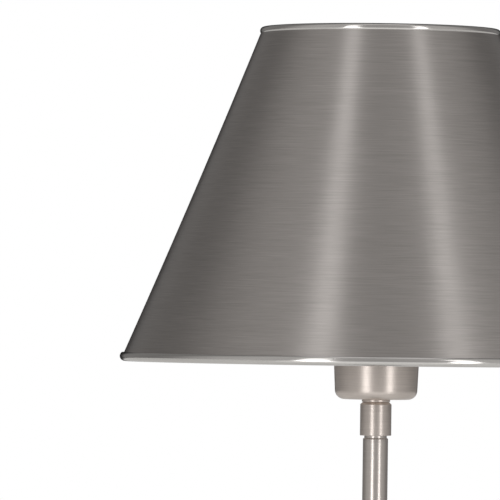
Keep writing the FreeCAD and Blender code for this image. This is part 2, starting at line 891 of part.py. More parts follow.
def make_rim(label, level, inset, bead, above_rim, facing):
    """Make a round bead with a groove that the skin's edge sits in.

    facing is 1 where the skin rises out of the bead and -1 where it goes down out of it.
    """
    wall = size["skin_wall"]
    gap = size["tuck_gap"]
    inset_radius = skin_radius(above_rim) - inset
    body = new_body(label, level - bead)
    sketch = new_sketch(body, label + "_section")
    draw_circle(sketch, inset_radius, bead, bead)
    ring = body.newObject("PartDesign::Revolution", label + "_bead")
    ring.Profile = sketch
    ring.ReferenceAxis = (sketch, ["V_Axis"])
    ring.Angle = 360.0
    doc.recompute()
    before = body.Shape.Volume
    root = (size["skin_tuck"] + gap) * -facing
    mouth = bead * 1.5 * facing
    root_radius = skin_radius(above_rim + root)
    mouth_radius = skin_radius(above_rim + mouth)
    corners = [
        (root_radius - wall - gap, bead + root),
        (root_radius + gap, bead + root),
        (mouth_radius + gap, bead + mouth),
        (mouth_radius - wall - gap, bead + mouth),
    ]
    turn_outline(body, label + "_groove", corners, None, "Groove")
    if body.Shape.Volume > before - SOLID_LIMIT:
        raise RuntimeError(label + " has no groove")


def make_rims():
    """Polished beads round the bottom and the top of the shade."""
    make_rim("bottom_rim", bottom_rim_level, size["bottom_rim_inset"],
             size["bottom_rim_bead"], ZERO, 1.0)
    make_rim("top_rim", top_rim_level, size["top_rim_inset"], size["top_rim_bead"],
             size["shade_height"], -1.0)


def make_spider():
    """Shade carrier: a flat hub between the shade rings and arms welded to the skin."""
    thick = size["spider_thickness"]
    hub_radius = shade_ring_radius - size["spider_hub_inset"]
    disc = doc.addObject("Part::Cylinder", "spider_disc")
    bind(disc, "Radius", hub_radius)
    bind(disc, "Height", thick)
    members = [disc]
    above_rim = size["ring_seat_height"] - size["shade_drop"]
    foot = size["spider_foot_height"]
    foot_thick = size["spider_foot_thickness"]
    width = size["spider_arm_width"]
    lean = math.atan((size["skin_bottom_radius"].value - size["skin_top_radius"].value)
                     / size["shade_height"].value)
    across = size["skin_wall"] / math.cos(lean) + size["seat_gap"] / math.cos(lean)
    sag_here = size["skin_sag"] * 4 * (above_rim + foot) / size["shade_height"]
    foot_outer = skin_radius(above_rim) - across - sag_here
    foot_inner = foot_outer - foot_thick / math.cos(lean)
    for number in range(SPIDER_ARMS):
        turn = Rotation(Vector(0, 0, 1), FIRST_SPIDER_ARM + 360.0 * number / SPIDER_ARMS)
        arm = doc.addObject("Part::Box", "spider_arm_%d" % (number + 1))
        start = (holder_sleeve + hub_radius) / 2
        bind(arm, "Length", foot_inner - start + foot_thick / 2)
        bind(arm, "Width", width)
        bind(arm, "Height", thick)
        place_turned(arm, turn, Vector(start.value, -width.value / 2, 0))
        tab = doc.addObject("Part::Box", "spider_foot_%d" % (number + 1))
        bind(tab, "Length", foot_thick)
        bind(tab, "Width", width)
        bind(tab, "Height", foot)
        tilt = Rotation(Vector(0, 1, 0), -math.degrees(lean))
        place_turned(tab, turn, Vector(foot_inner.value, -width.value / 2, 0), tilt)
        members += [arm, tab]
    joined = doc.addObject("Part::MultiFuse", "spider_joined")
    joined.Shapes = members
    hole = doc.addObject("Part::Cylinder", "spider_hole")
    bind(hole, "Radius", holder_sleeve)
    bind(hole, "Height", thick * 3)
    hole.Placement.Base = Vector(0, 0, -thick.value)
    spider = doc.addObject("Part::Cut", "shade_spider")
    spider.Label = "shade_spider"
    spider.Base = joined
    spider.Tool = hole
    spider.Placement.Base = Vector(0, 0, spider_level.value)
    bind(spider, "Placement.Base.z", spider_level)
    doc.recompute()
    pieces.append(spider)


def place_turned(feature, turn, start, tilt=Rotation()):
    """Put a box at a start point on +X, tilted there, then turned about the lamp's axis."""
    feature.Placement = FreeCAD.Placement(turn.multVec(start), turn.multiply(tilt))


# ---------------------------------------------------------------- build and write

def write_pieces():
    """Check every object and every piece, then write one STEP file for each piece."""
    doc.recompute()
    for feature in doc.Objects:
        if "Invalid" in feature.State or "Error" in feature.State:
            raise RuntimeError("%s did not build: %s" % (feature.Label, feature.State))
    os.makedirs("parts", exist_ok=True)
    for piece in pieces:
        shape = piece.Shape
        if shape.isNull() or not shape.isValid() or len(shape.Solids) != 1:
            raise RuntimeError(piece.Label + " is not one sound solid")
        shape.exportStep("parts/%s.step" % piece.Label)
        box = shape.BoundBox
        print("%-18s z %8.2f to %8.2f   volume %10.1f" % (piece.Label, box.ZMin, box.ZMax,
                                                          shape.Volume))


make_base_pad()
make_base_weight()
make_base_cover()
make_cord_bushing()
make_base_fixing()
make_base_ferrule()
make_outer_tube()
make_clamp_collar()
make_clamp_screw()
make_mast()
make_head_collar()
make_cup()
make_head_fixing()
make_holder()
make_bulb()
make_shade_skin()
make_rims()
make_spider()
write_pieces()
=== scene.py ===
from math import radians

import bmesh
import bpy
import numpy as np
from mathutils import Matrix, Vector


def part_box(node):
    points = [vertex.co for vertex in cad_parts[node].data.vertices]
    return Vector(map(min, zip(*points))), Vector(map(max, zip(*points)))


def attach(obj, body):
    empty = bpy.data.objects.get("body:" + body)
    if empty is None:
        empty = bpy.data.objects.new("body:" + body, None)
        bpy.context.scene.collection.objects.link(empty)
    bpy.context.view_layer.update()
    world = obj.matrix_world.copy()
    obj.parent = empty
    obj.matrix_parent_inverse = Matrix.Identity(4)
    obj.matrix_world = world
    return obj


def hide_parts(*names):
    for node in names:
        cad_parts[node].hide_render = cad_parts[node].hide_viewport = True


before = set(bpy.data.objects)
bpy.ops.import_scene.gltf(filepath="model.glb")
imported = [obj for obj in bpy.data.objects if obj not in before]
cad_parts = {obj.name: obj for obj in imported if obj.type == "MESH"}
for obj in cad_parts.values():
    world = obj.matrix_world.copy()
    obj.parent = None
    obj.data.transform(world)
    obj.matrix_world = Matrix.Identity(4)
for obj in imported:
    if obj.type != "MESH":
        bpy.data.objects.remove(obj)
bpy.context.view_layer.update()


# ------------------------------------------------------------------ view
# The lamp's head seen from the front, just above the bottom rim's level, from almost four
# metres away. The lens is long, and the camera leans a little, so the mast looks inclined.

VIEW_DISTANCE = 3.946
VIEW_ABOVE_RIM = 0.0331
VIEW_LENS = 446.3
VIEW_TURN = radians(1.175)
VIEW_RISE = radians(0.512)
VIEW_LEAN = radians(-0.724)

rim_low, rim_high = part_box("bottom_rim")
rim_level = (rim_low[2] + rim_high[2]) / 2

camera_data = bpy.data.cameras.new("camera")
camera_data.lens = VIEW_LENS
camera_data.clip_end = 100.0
camera = bpy.data.objects.new("camera", camera_data)
camera.location = (0.0, -VIEW_DISTANCE, rim_level + VIEW_ABOVE_RIM)
camera.rotation_euler = (radians(90) + VIEW_RISE, VIEW_LEAN, VIEW_TURN)
bpy.context.collection.objects.link(camera)
bpy.context.scene.camera = camera
bpy.context.scene.view_settings.view_transform = "Standard"


# ------------------------------------------------------------------ studio
# A plain pale floor in a surround that is brightest to either side of the front, dark behind.
# Tall soft boxes to the left and right draw the two upright streaks; smaller ones stand under
# them, low in front and overhead.

FLOOR_RADIUS = 8.0
FLOOR_TONE = (0.82, 0.82, 0.81, 1.0)
FLOOR_GLOW = 0.38
FLOOR_CORNERS = 96
DRIFT_SCALE = 1.5
DRIFT_SHADE = 0.97
SURROUND_SEEN = 1.0
SURROUND_TINT = (1.0, 0.985, 0.97)
SURROUND_STOPS = [(0.00, 0.38), (0.20, 0.44), (0.33, 0.50), (0.42, 0.46), (0.50, 0.38),
                  (0.58, 0.25), (0.66, 0.20), (0.80, 0.22), (0.87, 0.18), (0.91, 0.02),
                  (1.00, 0.02)]


def plain_material(name, colour, roughness):
    """A surface of one finish whose tone drifts slightly, as paint and paper do."""
    material = bpy.data.materials.new(name)
    material.use_nodes = True
    nodes = material.node_tree.nodes
    links = material.node_tree.links
    shader = nodes["Principled BSDF"]
    shader.inputs["Roughness"].default_value = roughness
    place = nodes.new("ShaderNodeTexCoord")
    drift = nodes.new("ShaderNodeTexNoise")
    drift.inputs["Scale"].default_value = DRIFT_SCALE
    tones = nodes.new("ShaderNodeMix")
    tones.data_type = "RGBA"
    tones.inputs["A"].default_value = colour
    tones.inputs["B"].default_value = tuple(c * DRIFT_SHADE for c in colour[:3]) + (1.0,)
    links.new(place.outputs["Object"], drift.inputs["Vector"])
    links.new(drift.outputs["Fac"], tones.inputs["Factor"])
    links.new(tones.outputs["Result"], shader.inputs["Base Color"])
    return material


bpy.ops.mesh.primitive_circle_add(vertices=FLOOR_CORNERS, radius=FLOOR_RADIUS, fill_type="NGON")
floor = bpy.context.object
floor.name = "floor"
floor_paper = plain_material("floor_paper", FLOOR_TONE, 0.6)
floor_shader = floor_paper.node_tree.nodes["Principled BSDF"]
floor_shader.inputs["Emission Color"].default_value = FLOOR_TONE
floor_shader.inputs["Emission Strength"].default_value = FLOOR_GLOW
floor.data.materials.append(floor_paper)


def math_node(nodes, links, kind, *values):
    """A Math node whose inputs are numbers or other nodes' outputs; gives its output."""
    node = nodes.new("ShaderNodeMath")
    node.operation = kind
    for socket, value in zip(node.inputs, values):
        if isinstance(value, (int, float)):
            socket.default_value = value
        else:
            links.new(value, socket)
    return node.outputs["Value"]


world = bpy.data.worlds.new("studio")
world.use_nodes = True
bpy.context.scene.world = world
world_nodes = world.node_tree.nodes
world_links = world.node_tree.links
seen = world_nodes.new("ShaderNodeBackground")
seen.inputs["Color"].default_value = (1.0, 1.0, 1.0, 1.0)
seen.inputs["Strength"].default_value = SURROUND_SEEN
fill = world_nodes["Background"]
direction = world_nodes.new("ShaderNodeTexCoord")
parts = world_nodes.new("ShaderNodeSeparateXYZ")
world_links.new(direction.outputs["Generated"], parts.inputs["Vector"])
behind = math_node(world_nodes, world_links, "MULTIPLY", parts.outputs["Y"], -1.0)
bearing = math_node(world_nodes, world_links, "ARCTAN2", parts.outputs["X"], behind)
share = math_node(world_nodes, world_links, "ABSOLUTE",
                  math_node(world_nodes, world_links, "DIVIDE", bearing, radians(180)))
walls = world_nodes.new("ShaderNodeValToRGB")
stops = walls.color_ramp.elements
for number, (place, tone) in enumerate(SURROUND_STOPS):
    stop = stops[number] if number < 2 else stops.new(place)
    stop.position = place
    stop.color = tuple(tone * part for part in SURROUND_TINT) + (1.0,)
world_links.new(share, walls.inputs["Fac"])
world_links.new(walls.outputs["Color"], fill.inputs["Color"])
path = world_nodes.new("ShaderNodeLightPath")
choose = world_nodes.new("ShaderNodeMixShader")
world_links.new(path.outputs["Is Camera Ray"], choose.inputs["Fac"])
world_links.new(fill.outputs["Background"], choose.inputs[1])
world_links.new(seen.outputs["Background"], choose.inputs[2])
world_links.new(choose.outputs["Shader"], world_nodes["World Output"].inputs["Surface"])


def soft_box(name, bearing, rise, distance, width, height, power):
    """A soft box that faces the bottom of the shade from a bearing, in degrees to the right
    of the front, and a rise above it."""
    data = bpy.data.lights.new(name, "AREA")
    data.shape = "RECTANGLE"
    data.size = width
    data.size_y = height
    data.energy = power
    light = bpy.data.objects.new(name, data)
    turn, lift = radians(bearing), radians(rise)
    way = np.array([np.sin(turn) * np.cos(lift), -np.cos(turn) * np.cos(lift), np.sin(lift)])
    target = np.array([0.0, 0.0, rim_level])
    light.location = target + way * distance
    light.rotation_euler = (radians(90) - lift, 0.0, turn)
    light.visible_camera = False
    bpy.context.collection.objects.link(light)


soft_box("left_box", -27, 12, 2.4, 0.46, 3.0, 6.0)
soft_box("right_box", 39, 12, 2.4, 0.42, 3.0, 5.0)
soft_box("left_low_box", -27, -10, 2.2, 0.60, 0.8, 3.0)
soft_box("right_low_box", 39, -10, 2.2, 0.50, 0.8, 2.5)
soft_box("low_box", 0, -38, 1.8, 3.0, 0.9, 2.0)
soft_box("top_box", 0, 84, 2.6, 1.6, 1.6, 2.0)


# ------------------------------------------------------------------ shade
# A cone spun from nickel-plated sheet and brushed round its axis, slightly hollow along its
# side. Its two edges are clinched in polished beads, rolled from narrow strip.

AROUND = 256
SKIN_WALL = 0.0008
SKIN_SAG = 0.0010
SKIN_ROWS = 64
BEAD_WALL = 0.0007
BEAD_SLIT = 0.0006
BEAD_STEPS = 36
BOTTOM_BEAD = 0.0031
TOP_BEAD = 0.0025
BOTTOM_SLIT = radians(72)
TOP_SLIT = radians(-60)
TOP_INSET = 0.0011
SMOOTH_LIMIT = radians(32)
MERGE_GAP = 1e-6
STROKES_PER_METRE = 40.0
LINES_PER_METRE = 3200.0
PATCHES_PER_METRE = 22.0
LINE_RANGE = (0.22, 0.78)
LINE_DEPTH = 0.0001
NOISE_RANGE = (0.25, 0.75)
GRAIN_TURN = 0.25


def turned_mesh(name, outline, waves=None, around=AROUND, along=0, start=(0.0, 0.0, 0.0)):
    """A closed outline of (radius, height) points turned about an axis into one skin.

    Over angle a and outline point (r, h): x = r cos a, y = r sin a, z = h. waves(a, r, h), if
    given, is added to r. along is 0 where the axis is Z, 1 where it is X and 2 where it is Y:
    the coordinates are rolled round by that many places, then moved by start.
    """
    outline = np.asarray(outline, dtype=float)
    count = len(outline)
    angle = np.linspace(0.0, 2 * np.pi, around, endpoint=False)[:, None]
    radius = np.broadcast_to(outline[:, 0], (around, count))
    height = np.broadcast_to(outline[:, 1], (around, count))
    if waves is not None:
        radius = radius + waves(angle, radius, height)
    points = np.stack([radius * np.cos(angle), radius * np.sin(angle), height], axis=-1)
    points = np.roll(points, along, axis=-1) + np.array(start)
    row = np.arange(around)[:, None]
    column = np.arange(count)[None, :]
    after = (row + 1) % around
    beside = (column + 1) % count
    faces = np.stack([row * count + column, after * count + column,
                      after * count + beside, row * count + beside], axis=-1)
    return skinned(name, points.reshape(-1, 3), faces.reshape(-1, 4).tolist())


def skinned(name, points, faces):
    """A mesh from points and faces, its doubles merged, facing outwards and smooth but for
    its real edges."""
    mesh = bpy.data.meshes.new(name)
    mesh.from_pydata(points.tolist(), [], faces)
    shape = bmesh.new()
    shape.from_mesh(mesh)
    bmesh.ops.remove_doubles(shape, verts=shape.verts, dist=MERGE_GAP)
    bmesh.ops.recalc_face_normals(shape, faces=shape.faces)
    shape.to_mesh(mesh)
    shape.free()
    mesh.shade_smooth()
    mesh.set_sharp_from_angle(angle=SMOOTH_LIMIT)
    return mesh


def add_piece(name, mesh, material, body, slot, *nodes):
    """Put a finished mesh in the scene as a piece on a body that stands for CAD nodes."""
    piece = bpy.data.objects.new(name, mesh)
    mesh.materials.append(material)
    bpy.context.collection.objects.link(piece)
    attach(piece, body)
    if nodes:
        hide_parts(*nodes)
    return piece


def brushing_group():
    """Fine lines round an axis: noise stretched along circles of equal height and radius."""
    group = bpy.data.node_groups.new("turned_brushing", "ShaderNodeTree")
    face = group.interface
    for name, usual in (("Lines", LINES_PER_METRE), ("Patches", PATCHES_PER_METRE)):
        socket = face.new_socket(name, in_out="INPUT", socket_type="NodeSocketFloat")
        socket.default_value = usual
    face.new_socket("Line", in_out="OUTPUT", socket_type="NodeSocketFloat")
    face.new_socket("Patch", in_out="OUTPUT", socket_type="NodeSocketFloat")
    nodes, links = group.nodes, group.links
    given = nodes.new("NodeGroupInput")
    result = nodes.new("NodeGroupOutput")
    place = nodes.new("ShaderNodeTexCoord")
    parts = nodes.new("ShaderNodeSeparateXYZ")
    links.new(place.outputs["Object"], parts.inputs["Vector"])

    x, y, z = (parts.outputs[axis] for axis in "XYZ")
    square = math_node(nodes, links, "ADD", math_node(nodes, links, "MULTIPLY", x, x),
                       math_node(nodes, links, "MULTIPLY", y, y))
    slant = math_node(nodes, links, "SUBTRACT", z, math_node(nodes, links, "SQRT", square))
    along = nodes.new("ShaderNodeCombineXYZ")
    links.new(math_node(nodes, links, "MULTIPLY", x, STROKES_PER_METRE), along.inputs["X"])
    links.new(math_node(nodes, links, "MULTIPLY", y, STROKES_PER_METRE), along.inputs["Y"])
    links.new(math_node(nodes, links, "MULTIPLY", slant, given.outputs["Lines"]),
              along.inputs["Z"])
    lines = nodes.new("ShaderNodeTexNoise")
    lines.inputs["Scale"].default_value = 1.0
    lines.inputs["Detail"].default_value = 3.0
    lines.inputs["Roughness"].default_value = 0.65
    links.new(along.outputs["Vector"], lines.inputs["Vector"])
    contrast = nodes.new("ShaderNodeMapRange")
    contrast.inputs["From Min"].default_value = LINE_RANGE[0]
    contrast.inputs["From Max"].default_value = LINE_RANGE[1]
    links.new(lines.outputs["Fac"], contrast.inputs["Value"])
    links.new(contrast.outputs["Result"], result.inputs["Line"])
    patches = nodes.new("ShaderNodeTexNoise")
    patches.inputs["Detail"].default_value = 2.0
    links.new(place.outputs["Object"], patches.inputs["Vector"])
    links.new(given.outputs["Patches"], patches.inputs["Scale"])
    links.new(patches.outputs["Fac"], result.inputs["Patch"])
    return group


turned_brushing = brushing_group()


def finished(name, metal, grain_group, scales, tones, roughness, spread, relief, outputs):
    """A material whose grain comes from a node group: its first output mixes the dark tone with
    the light one, the second moves the roughness by a share either way, and the third gives
    relief of a strength and depth."""
    material = bpy.data.materials.new(name)
    material.use_nodes = True
    nodes, links = material.node_tree.nodes, material.node_tree.links
    shader = nodes["Principled BSDF"]
    shader.inputs["Metallic"].default_value = metal
    grain = nodes.new("ShaderNodeGroup")
    grain.node_tree = grain_group
    for socket, value in scales.items():
        grain.inputs[socket].default_value = value
    light, dark = tones
    mix = nodes.new("ShaderNodeMix")
    mix.data_type = "RGBA"
    mix.inputs["A"].default_value = dark + (1.0,)
    mix.inputs["B"].default_value = light + (1.0,)
    links.new(grain.outputs[outputs[0]], mix.inputs["Factor"])
    links.new(mix.outputs["Result"], shader.inputs["Base Color"])
    rough = nodes.new("ShaderNodeMapRange")
    rough.inputs["From Min"].default_value = NOISE_RANGE[0]
    rough.inputs["From Max"].default_value = NOISE_RANGE[1]
    rough.inputs["To Min"].default_value = roughness * (1 - spread)
    rough.inputs["To Max"].default_value = roughness * (1 + spread)
    links.new(grain.outputs[outputs[1]], rough.inputs["Value"])
    links.new(rough.outputs["Result"], shader.inputs["Roughness"])
    bump = nodes.new("ShaderNodeBump")
    bump.inputs["Strength"].default_value, bump.inputs["Distance"].default_value = relief
    links.new(grain.outputs[outputs[2]], bump.inputs["Height"])
    links.new(bump.outputs["Normal"], shader.inputs["Normal"])
    return material


def nickel(name, light, dark, roughness, stretch, lines=LINES_PER_METRE, bump=0.10, spread=0.10):
    """Nickel plate on brushed metal: the grain runs round the axis, so highlights spread
    up and down; tone and height follow the brushed lines, roughness the broad patches."""
    material = finished(name, 1.0, turned_brushing, {"Lines": lines}, (light, dark), roughness,
                        spread, (bump, LINE_DEPTH), ("Line", "Patch", "Line"))
    nodes, links = material.node_tree.nodes, material.node_tree.links
    shader = nodes["Principled BSDF"]
    shader.inputs["Anisotropic"].default_value = stretch
    shader.inputs["Anisotropic Rotation"].default_value = GRAIN_TURN
    tangent = nodes.new("ShaderNodeTangent")
    tangent.direction_type = "RADIAL"
    tangent.axis = "Z"
    links.new(tangent.outputs["Tangent"], shader.inputs["Tangent"])
    return material


satin_nickel = nickel("satin_nickel", (0.56, 0.53, 0.51), (0.36, 0.335, 0.32), 0.34, 0.75)
polished_nickel = nickel("polished_nickel", (0.74, 0.72, 0.70), (0.62, 0.60, 0.58), 0.14, 0.3,
                         lines=5000.0, bump=0.03)

skin_low, skin_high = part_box("shade_skin")
skin_bottom = skin_high[0]
top_low, top_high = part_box("top_rim")
skin_top = top_high[0] - TOP_BEAD + TOP_INSET


def skin_radius(height):
    """Outer radius of the skin at a height: the straight side less a shallow parabola."""
    share = (height - skin_low[2]) / (skin_high[2] - skin_low[2])
    straight = skin_bottom + (skin_top - skin_bottom) * share
    return straight - 4 * SKIN_SAG * share * (1 - share)


skin_height = np.linspace(skin_low[2], skin_high[2], SKIN_ROWS)
outer_side = np.stack([skin_radius(skin_height), skin_height], axis=-1)
inner_side = (outer_side - np.array([SKIN_WALL, 0.0]))[::-1]
skin_mesh = turned_mesh("shade_skin_spun", np.concatenate([outer_side, inner_side]))
add_piece("shade_skin_spun", skin_mesh, satin_nickel, "head", "satin_nickel", "shade_skin")


def bead_outline(middle, bead, slit_bearing):
    """A split tube's section: an outer arc and, back inside it, an inner one, both leaving
    out the slit that the skin's edge enters at a bearing from the horizontal."""
    half = (SKIN_WALL / 2 + BEAD_SLIT) / bead
    angle = np.linspace(slit_bearing + half, slit_bearing + 2 * np.pi - half, BEAD_STEPS)
    arc = np.stack([np.cos(angle), np.sin(angle)], axis=-1)
    outer = np.array(middle) + bead * arc
    inner = np.array(middle) + (bead - BEAD_WALL) * arc[::-1]
    return np.concatenate([outer, inner])


bottom_middle = (rim_high[0] - BOTTOM_BEAD, rim_level)
top_middle = (top_high[0] - TOP_BEAD, (top_low[2] + top_high[2]) / 2)
bottom_mesh = turned_mesh("bottom_bead", bead_outline(bottom_middle, BOTTOM_BEAD, BOTTOM_SLIT))
add_piece("bottom_bead", bottom_mesh, polished_nickel, "head", "polished_nickel", "bottom_rim")
top_mesh = turned_mesh("top_bead", bead_outline(top_middle, TOP_BEAD, TOP_SLIT))
add_piece("top_bead", top_mesh, polished_nickel, "head", "polished_nickel", "top_rim")


# ------------------------------------------------------------------ cup and collar
# The cup is spun from sheet and hides the foot of the lamp holder. Under it are a thin ring,
# a turned collar with a chamfered top and the neck of the plug that closes the tube.

CORNER_STEPS = 10
CUP_WALL = 0.0010
CUP_FLARE = 0.0016
CUP_ROUND = 0.0060
CUP_LIP_ROUND = 0.0004
THREAD_HOLE = 0.00505
COLLAR_CHAMFER = 0.0016
SMALL_ROUND = 0.0003
RING_ROUND = 0.0005


def rounded(corners):
    """An outline from (radius, height, round) corners: each corner with a round becomes an
    arc that is tangent to its two sides."""
    points = np.array([corner[:2] for corner in corners], dtype=float)
    result = []
    for number, corner in enumerate(corners):
        here = points[number]
        size = corner[2] if len(corner) > 2 else 0.0
        if not size:
            result.append(here)
            continue
        back = points[number - 1] - here
        ahead = points[(number + 1) % len(points)] - here
        back_way = back / np.linalg.norm(back)
        ahead_way = ahead / np.linalg.norm(ahead)
        half = np.arccos(np.clip(back_way @ ahead_way, -1, 1)) / 2
        reach = size / np.tan(half)
        start, end = here + back_way * reach, here + ahead_way * reach
        bisector = (back_way + ahead_way) / np.linalg.norm(back_way + ahead_way)
        middle = here + bisector * size / np.sin(half)
        first, last = start - middle, end - middle
        sweep = np.arctan2(first[0] * last[1] - first[1] * last[0], first @ last)
        for turn in np.linspace(0.0, sweep, CORNER_STEPS):
            cosine, sine = np.cos(turn), np.sin(turn)
            result.append(middle + np.array([first[0] * cosine - first[1] * sine,
                                             first[0] * sine + first[1] * cosine]))
    return np.array(result)


def turned_piece(name, corners, material, body, slot, *nodes, **ways):
    """Turn a rounded outline and add it as a piece; ways are turned_mesh's own."""
    mesh = turned_mesh(name, rounded(corners), **ways)
    return add_piece(name, mesh, material, body, slot, *nodes)


# A lighter, warmer copy of the nickel: painted light standing in for the light that the shade
# keeps off the cup, ring and collar, and a painted warm reflection.
cup_nickel_painted_light = nickel("cup_nickel_painted_light", (0.74, 0.67, 0.62), (0.58, 0.52, 0.48), 0.36, 0.3)

cup_low, cup_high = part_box("holder_cup")
cup_rim = cup_high[0]
cup_floor = cup_rim - CUP_FLARE
turned_piece("cup_spun", [
    (THREAD_HOLE, cup_low[2]),
    (cup_floor, cup_low[2], CUP_ROUND),
    (cup_rim, cup_high[2], CUP_LIP_ROUND),
    (cup_rim - CUP_WALL, cup_high[2], CUP_LIP_ROUND),
    (cup_floor - CUP_WALL, cup_low[2] + CUP_WALL, CUP_ROUND - CUP_WALL),
    (THREAD_HOLE, cup_low[2] + CUP_WALL),
], cup_nickel_painted_light, "head", "satin_nickel", "holder_cup")

ring_low, ring_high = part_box("spacer_ring")
turned_piece("spacer_ring_turned", [
    (THREAD_HOLE, ring_low[2]),
    (ring_high[0], ring_low[2], RING_ROUND),
    (ring_high[0], ring_high[2], RING_ROUND),
    (THREAD_HOLE, ring_high[2]),
], cup_nickel_painted_light, "head", "satin_nickel", "spacer_ring")

collar_low, collar_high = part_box("head_collar")
turned_piece("head_collar_turned", [
    (THREAD_HOLE, collar_low[2]),
    (collar_high[0], collar_low[2], SMALL_ROUND),
    (collar_high[0], collar_high[2] - COLLAR_CHAMFER, SMALL_ROUND),
    (collar_high[0] - COLLAR_CHAMFER, collar_high[2], SMALL_ROUND),
    (THREAD_HOLE, collar_high[2]),
], cup_nickel_painted_light, "head", "satin_nickel", "head_collar")


# ------------------------------------------------------------------ sliding tube
# Drawn 16 mm tube, closed at the top by a plug whose rounded shoulder meets the neck.

drawn_nickel = nickel("drawn_nickel", (0.70, 0.65, 0.61), (0.55, 0.505, 0.475), 0.30, 0.3,
                      lines=6000.0, bump=0.08)
MAST_WALL = 0.0010
NECK_DEPTH = 0.00085
NECK_HEIGHT = 0.0016
SHOULDER_ROUND = 0.0008
PLUG_GAP = 0.00005

mast_low, mast_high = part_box("mast_tube")
mast_radius = mast_high[0]
turned_piece("mast_tube_drawn", [
    (mast_radius - MAST_WALL, mast_low[2]),
    (mast_radius, mast_low[2], SMALL_ROUND),
    (mast_radius, mast_high[2]),
    (mast_radius - MAST_WALL, mast_high[2]),
], drawn_nickel, "head", "drawn_nickel", "mast_tube")

plug_low, plug_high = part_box("mast_end_plug")
neck_radius = mast_radius - NECK_DEPTH
turned_piece("mast_end_plug_turned", [
    (THREAD_HOLE, plug_low[2]),
    (mast_radius - MAST_WALL - PLUG_GAP, plug_low[2], SMALL_ROUND),
    (mast_radius - MAST_WALL - PLUG_GAP, mast_high[2]),
    (mast_radius, mast_high[2]),
    (mast_radius, plug_high[2] - NECK_HEIGHT, SHOULDER_ROUND),
    (neck_radius, plug_high[2] - NECK_HEIGHT),
    (neck_radius, plug_high[2]),
    (THREAD_HOLE, plug_high[2]),
], drawn_nickel, "head", "drawn_nickel", "mast_end_plug")


# ------------------------------------------------------------------ shade carrier
# Zinc-plated steel: a flat hub that the two shade rings grip, and three arms with a pressed
# rib, whose ends turn up along the skin and are spot-welded to it.

FIRST_ARM = radians(30)
ARMS = 3
ARM_WIDTH = 0.0120
ARM_WALL = 0.0015
FOOT_WALL = 0.0012
FOOT_HEIGHT = 0.0203
FOOT_GAP = 0.0003
FOOT_BEND = 0.0025
RIB_HEIGHT = 0.0009
RIB_WIDTH = 0.0016
RIB_END = 0.010
WELD_DEPTH = 0.00035
WELD_RADIUS = 0.0016
WELDS = (0.006, 0.015)
HUB_WALL = 0.0016
HUB_RADIUS = 0.0270
SLEEVE = 0.01985
ARM_STEP = 0.0009
ARM_COLUMNS = 25
ARM_LAP = 0.003
ARM_EDGE_POWER = 0.7
ARM_FACE_POWER = 0.15
UPRIGHT_FROM = 0.2
UPRIGHT_SPAN = 0.6
AROUND_SMALL = 96
GRAIN_DEPTH = 0.0002


def mottling_group():
    """Fine and broad mottling of a surface, each between 0 and 1, from noise of two scales."""
    group = bpy.data.node_groups.new("mottling", "ShaderNodeTree")
    face = group.interface
    nodes, links = group.nodes, group.links
    given = nodes.new("NodeGroupInput")
    result = nodes.new("NodeGroupOutput")
    place = nodes.new("ShaderNodeTexCoord")
    for kind in ("Fine", "Broad"):
        face.new_socket(kind + " Scale", in_out="INPUT", socket_type="NodeSocketFloat")
        face.new_socket(kind, in_out="OUTPUT", socket_type="NodeSocketFloat")
        noise = nodes.new("ShaderNodeTexNoise")
        noise.inputs["Detail"].default_value = 3.0
        links.new(place.outputs["Object"], noise.inputs["Vector"])
        links.new(given.outputs[kind + " Scale"], noise.inputs["Scale"])
        links.new(noise.outputs["Fac"], result.inputs[kind])
    return group


mottling = mottling_group()


def mottled(name, light, dark, roughness, fine, broad, bump, metal=0.0, spread=0.2):
    """A plated, cast or moulded surface: broad mottling shifts its tone and roughness, and
    fine mottling gives it relief."""
    return finished(name, metal, mottling, {"Fine Scale": fine, "Broad Scale": broad},
                    (light, dark), roughness, spread, (bump, GRAIN_DEPTH),
                    ("Broad", "Broad", "Fine"))


zinc_steel = mottled("zinc_steel", (0.66, 0.67, 0.69), (0.50, 0.51, 0.53), 0.30, 1400.0, 90.0,
                     0.15, metal=1.0)

spider_low, spider_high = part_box("shade_spider")
hub_level = spider_low[2] + HUB_WALL / 2


